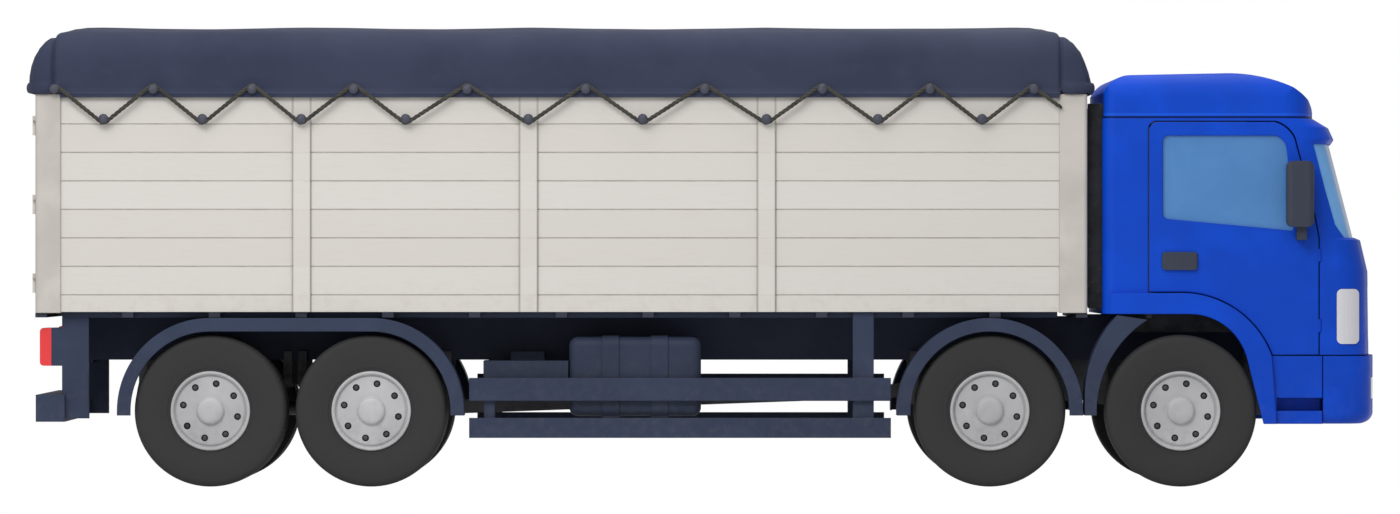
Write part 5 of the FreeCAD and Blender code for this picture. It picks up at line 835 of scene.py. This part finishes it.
def hem_rows(foot):
    """Steps of the hem as (height, how far it stands out): a flat band on the sides, a thick roll on the ears."""
    if foot == HEM_FOOT:
        return [(foot + up, out) for up, out in HEM_BAND]
    turns = [math.pi * step / 8 for step in range(9)]
    return [(foot + ROLL_HALF * (1 + math.cos(turn)), ROLL_OUT * math.sin(turn)) for turn in turns]


def cover_mesh():
    """The cover as one sheet, its map in metres of cloth, and the lines that its hem stitches follow."""
    xs, ys = cover_stations(), cover_columns()
    along = lengths([(x, cover_level(x, 0.0)) for x in xs])
    across = lengths([(y, cover_level(0.0, y)) for y in ys])
    shape = bmesh.new()
    layer = shape.loops.layers.uv.new("cloth")
    marks, shifts, grid = {}, {}, []
    for x, mark_x in zip(xs, along):
        row = []
        for y, mark_y in zip(ys, across):
            place_x, place_y, _ = plan_place(x, y)
            vert = shape.verts.new((place_x, place_y, cover_level(x, y)))
            side = min(1.0, max(0.0, (abs(y) - FLANK + 0.25) / 0.35))
            marks[vert], shifts[vert] = (mark_x, mark_y), cloth_shift(x, y, vert.co.z, side * side)
            row.append(vert)
        grid.append(row)
    last_x, last_y = len(xs) - 1, len(ys) - 1
    for near, far in zip(grid, grid[1:]):
        for j in range(last_y):
            shape.faces.new((near[j], far[j], far[j + 1], near[j + 1]))
    border = [(i, 0) for i in range(last_x)] + [(last_x, j) for j in range(last_y)]
    border += [(i, last_y) for i in range(last_x, 0, -1)] + [(0, j) for j in range(last_y, 0, -1)]
    plans = []
    for i, j in border:
        place_x, place_y, out = plan_place(xs[i], ys[j])
        foot = HEM_FOOT if WALL_REAR <= xs[i] <= WALL_FRONT and j in (0, last_y) else EAR_FOOT
        plans.append((xs[i], ys[j], Vector((place_x, place_y)), out, foot, grid[i][j]))
    rings = [[grid[i][j] for i, j in border]]
    for step in range(1, FALLS + len(HEM_BAND)):
        ring = []
        for x, y, spot, out, foot, top in plans:
            rows = hem_rows(foot)
            z, proud = top.co.z + (rows[0][0] - top.co.z) * min(1.0, step / FALLS), 0.0
            if step > FALLS:
                z, proud = rows[step - FALLS]
            vert = shape.verts.new((*(spot + out * proud), z))
            fall = top.co.z - z + proud
            marks[vert] = (marks[top][0] + out.x * fall, marks[top][1] + out.y * fall)
            side = (1.0 if step <= FALLS else 0.8) if abs(out.y) > 0.5 else 0.0
            shifts[vert] = cloth_shift(x, y, max(z, 3.160), side)
            ring.append(vert)
        rings.append(ring)
    bridge(shape, rings)
    bmesh.ops.recalc_face_normals(shape, faces=shape.faces)
    shape.normal_update()
    ways = {vert: vert.normal.copy() for vert in shape.verts}
    if ways[grid[last_x // 2][last_y // 2]].z < 0:
        bmesh.ops.reverse_faces(shape, faces=shape.faces)
        ways = {vert: -way for vert, way in ways.items()}
    for vert, way in ways.items():
        vert.co += way * shifts[vert]
    for face in shape.faces:
        for loop in face.loops:
            loop[layer].uv = marks[loop.vert]
    # The stitches run near the top and near the foot of the hem's band.
    seams = [[vert.co.copy() for vert, plan in zip(rings[FALLS + row], plans) if plan[4] == HEM_FOOT]
             for row in (2, 6)]
    cloth_size = (across[-1] + 2 * (SIDE_EDGE - HEM_FOOT + HEM_TURN),
                  along[-1] + 2 * (END_EDGE - EAR_FOOT + HEM_TURN))
    return mesh_data("cover_cloth_sheet", shape), seams, cloth_size


def stitch_growth():
    """Short raised stitches, evenly spaced along a line."""
    tree = Growth("hem_stitch", spacing=0.020, length=0.013, thickness=0.0014)
    line = tree.add("GeometryNodeMeshToCurve", {"Mesh": tree.given[0]})[0]
    even = tree.add("GeometryNodeCurveToPoints", {"Curve": line, "Length": tree.given["spacing"]}, mode="LENGTH")
    stitch = tree.add("GeometryNodeMeshCylinder", {"Vertices": 5, "Radius": tree.given["thickness"],
                                                   "Depth": tree.given["length"]})[0]
    copies = tree.add("GeometryNodeInstanceOnPoints", {"Points": even["Points"], "Instance": stitch,
                                                       "Rotation": even["Rotation"]})[0]
    tree.end(copies, THREAD)
    return tree


def cover():
    """The cover with its hem stitched along both sides."""
    data, seams, cloth_size = cover_mesh()
    sheet = piece(data, "chassis", "tarpaulin", COVER, ["tarpaulin"])
    thick = sheet.modifiers.new("cloth_thickness", "SOLIDIFY")
    thick.thickness, thick.offset = 0.0045, -1.0
    tree = stitch_growth()
    points, links = [], []
    for seam in seams:
        for side in SIDES.values():
            start = len(points)
            points += sorted((point for point in seam if point.y * side > 0), key=lambda point: point.x)
            links += chain(start, len(points))
    stitches = piece(tree.grow("hem_stitches", points, links), "chassis", "tarpaulin")


def block(name, middle, size, radius, segments, foot=1.0):
    """A block with rounded edges, its foot drawn in to a share of its top."""
    shape = bmesh.new()
    bmesh.ops.create_cube(shape, size=1.0)
    for vert in shape.verts:
        flare = 1.0 if vert.co.z > 0 else foot
        vert.co = Vector((middle[0] + vert.co.x * size[0] * flare, middle[1] + vert.co.y * size[1] * flare,
                          middle[2] + vert.co.z * size[2]))
    bmesh.ops.bevel(shape, geom=shape.edges, offset=radius, segments=segments, affect="EDGES", profile=0.6)
    return smooth_mesh(name, shape)


# Seats. A pad is a crowned closed form with sewn channels; it sits on a moulded base.
SEAT_MIDDLE, SEAT_HALF = 0.600, 0.260


def pad_mesh(name, low, high, crown, channels, channel_axis, crown_axis):
    """A stuffed pad between two corners, its sides drawn in between the corners and its channels sewn down."""
    shape = bmesh.new()
    bmesh.ops.create_cube(shape, size=2.0)
    bmesh.ops.subdivide_edges(shape, edges=shape.edges, cuts=27, use_grid_fill=True)
    centre, half = (Vector(low) + Vector(high)) / 2, (Vector(high) - Vector(low)) / 2
    for vert in shape.verts:
        way = vert.co.copy()
        form = way / (abs(way.x) ** 5 + abs(way.y) ** 5 + abs(way.z) ** 5) ** 0.2
        side = 1.0 - 0.035 * (1 - abs(form[crown_axis])) * (1 - abs(form[channel_axis]) ** 2)
        place = Vector((form.x * half.x * side, form.y * half.y * side, form.z * half.z))
        flat = (1 - form[channel_axis] ** 2) * (1 - form[3 - channel_axis - crown_axis] ** 2)
        top = max(0.0, form[crown_axis])
        place[crown_axis] += crown * flat * top
        for channel in channels:
            gap = (form[channel_axis] - channel) * half[channel_axis]
            place[crown_axis] -= 0.010 * math.exp(-(gap / 0.007) ** 2) * min(1.0, top * 1.4)
        vert.co = centre + place
    return smooth_mesh(name, shape, 60.0)


def seats():
    """Two seats, each a moulded base with a cushion and a back rest."""
    for side_name, side in SIDES.items():
        middle = SEAT_MIDDLE * side
        low, high = middle - SEAT_HALF, middle + SEAT_HALF
        base = block(f"seat_base_{side_name}", (3.745, middle, 1.545), (0.380, 0.430, 0.208), 0.022, 4, 0.86)
        piece(base, "cab", "dark_trim", TRIM, ["seats"])
        cushion = pad_mesh(f"seat_cushion_{side_name}", (3.556, low, 1.652), (3.938, high, 1.842), 0.016,
                           (-0.62, -0.2, 0.22, 0.64), 0, 2)
        back = pad_mesh(f"seat_back_{side_name}", (3.424, low, 1.655), (3.548, high, 2.556), 0.014,
                        (-0.72, -0.4, -0.08, 0.24, 0.56), 2, 0)
        for data in (cushion, back):
            piece(data, "cab", "seat_cloth", SEAT)


# Thin strips on each side as name, body, middle on the left, and size: rubber on the cab, painted on the chassis.
STRIPS = (
    ("splash_curtain", "cab", (3.965, 0.870, 1.3095), (1.290, 0.012, 0.148)),
    ("door_seal_rear", "cab", (3.548, 1.2185, 2.130), (0.050, 0.006, 1.560)),
    ("door_seal_top", "cab", (3.940, 1.2185, 2.900), (0.790, 0.006, 0.050)),
    # A strip in chassis paint under the walls, standing in for the shade between the walls and the rails.
    ("shade_sill", "chassis", (-1.160, 1.130, 1.384), (7.960, 0.014, 0.060)),
    # A dark sheet in the gap behind the cab, standing in for the shade there.
    ("gap_shade_sheet", "cab", (3.127, 1.080, 2.250), (0.126, 0.012, 1.640)),
    ("rail_riser", "chassis", (3.170, 0.437, 1.331), (0.240, 0.014, 0.082)),
)
STRIP_LOOKS = {"cab": ("dark_trim", RUBBER_SHEET), "chassis": ("chassis_paint", PAINT_CHASSIS)}


def curtains_and_sills():
    """Dark curtains in the front arches, seals at the doors, a dark sheet behind the cab that stands in for shade,
    sills on the frame that stand in for the shade under the walls, and risers.
    """
    for side_name, side in SIDES.items():
        for name, body, (x, y, z), size in STRIPS:
            piece(block(f"{name}_{side_name}", (x, side * y, z), size, 0.004, 3), body, *STRIP_LOOKS[body])


# Stage, lamps and camera.
WHITE = (1.0, 1.0, 1.0, 1.0)
# How bright the white floor and the white air are to everything but the camera.
FLOOR_SHARE, AIR_SHARE = 0.45, 0.47


def floor_card():
    """Flat pale card that shows white to the camera and less than half as bright in reflections."""
    pale = Finish("floor_card", (226, 226, 226), 0.9)
    ray = pale.add("ShaderNodeLightPath")
    mirrored = pale.maths("MAXIMUM", ray["Is Glossy Ray"], ray["Is Transmission Ray"])
    white = pale.maths("MAXIMUM", ray["Is Camera Ray"], pale.maths("MULTIPLY", mirrored, FLOOR_SHARE))
    glow = pale.add("ShaderNodeEmission", {"Color": WHITE})["Emission"]
    mixed = pale.add("ShaderNodeMixShader", {"Fac": white, 1: pale.shader.outputs["BSDF"], 2: glow})["Shader"]
    pale.tree.links.new(mixed, pale.tree.nodes["Material Output"].inputs["Surface"])
    return pale.material


def stage():
    """A wide flat floor."""
    shape = bmesh.new()
    bmesh.ops.create_grid(shape, x_segments=1, y_segments=1, size=150.0)
    floor = put("studio_floor", mesh_data("studio_floor", shape))
    floor.data.materials.append(floor_card())


def lamp(name, place, aim, size, power):
    """A soft square lamp that looks at a point."""
    light = bpy.data.lights.new(name, "AREA")
    light.shape = "RECTANGLE"
    light.size, light.size_y = size
    light.energy = power
    holder = put(name, light)
    holder.location = place
    holder.rotation_euler = (Vector(aim) - Vector(place)).to_track_quat("-Z", "Y").to_euler()


def studio():
    """World light that is white to the camera, two soft lamps and the camera at the photograph's angle."""
    world = bpy.data.worlds.new("studio_air")
    world.use_nodes = True
    air = Nodes(world.node_tree)
    background = air.tree.nodes["Background"]
    background.inputs["Color"].default_value = WHITE
    seen = air.add("ShaderNodeLightPath")["Is Camera Ray"]
    strength = air.add("ShaderNodeMapRange", {"Value": seen, "To Min": AIR_SHARE, "To Max": 1.0})["Result"]
    air.tree.links.new(strength, background.inputs["Strength"])
    bpy.context.scene.world = world
    lamp("key", (-7.0, -17.0, 14.0), (0.0, 0.0, 1.6), (14.0, 9.0), 2340.0)
    lamp("top", (2.0, 0.0, 15.0), (0.0, 0.0, 2.0), (16.0, 8.0), 1080.0)
    bpy.context.scene.view_settings.view_transform = "Standard"
    camera = bpy.data.cameras.new("side_camera")
    camera.sensor_width, camera.lens, camera.clip_end = 36.0, 208.93, 300.0
    holder = put("side_camera", camera)
    holder.location = (-0.044, -66.25, 1.840)
    holder.rotation_euler = (math.radians(90.0), 0.0, 0.0)
    bpy.context.scene.camera = holder


finish_nodes()
tyres()
wheels()
wheel_nuts()
lacing()
cover()
seats()
curtains_and_sills()
stage()
studio()
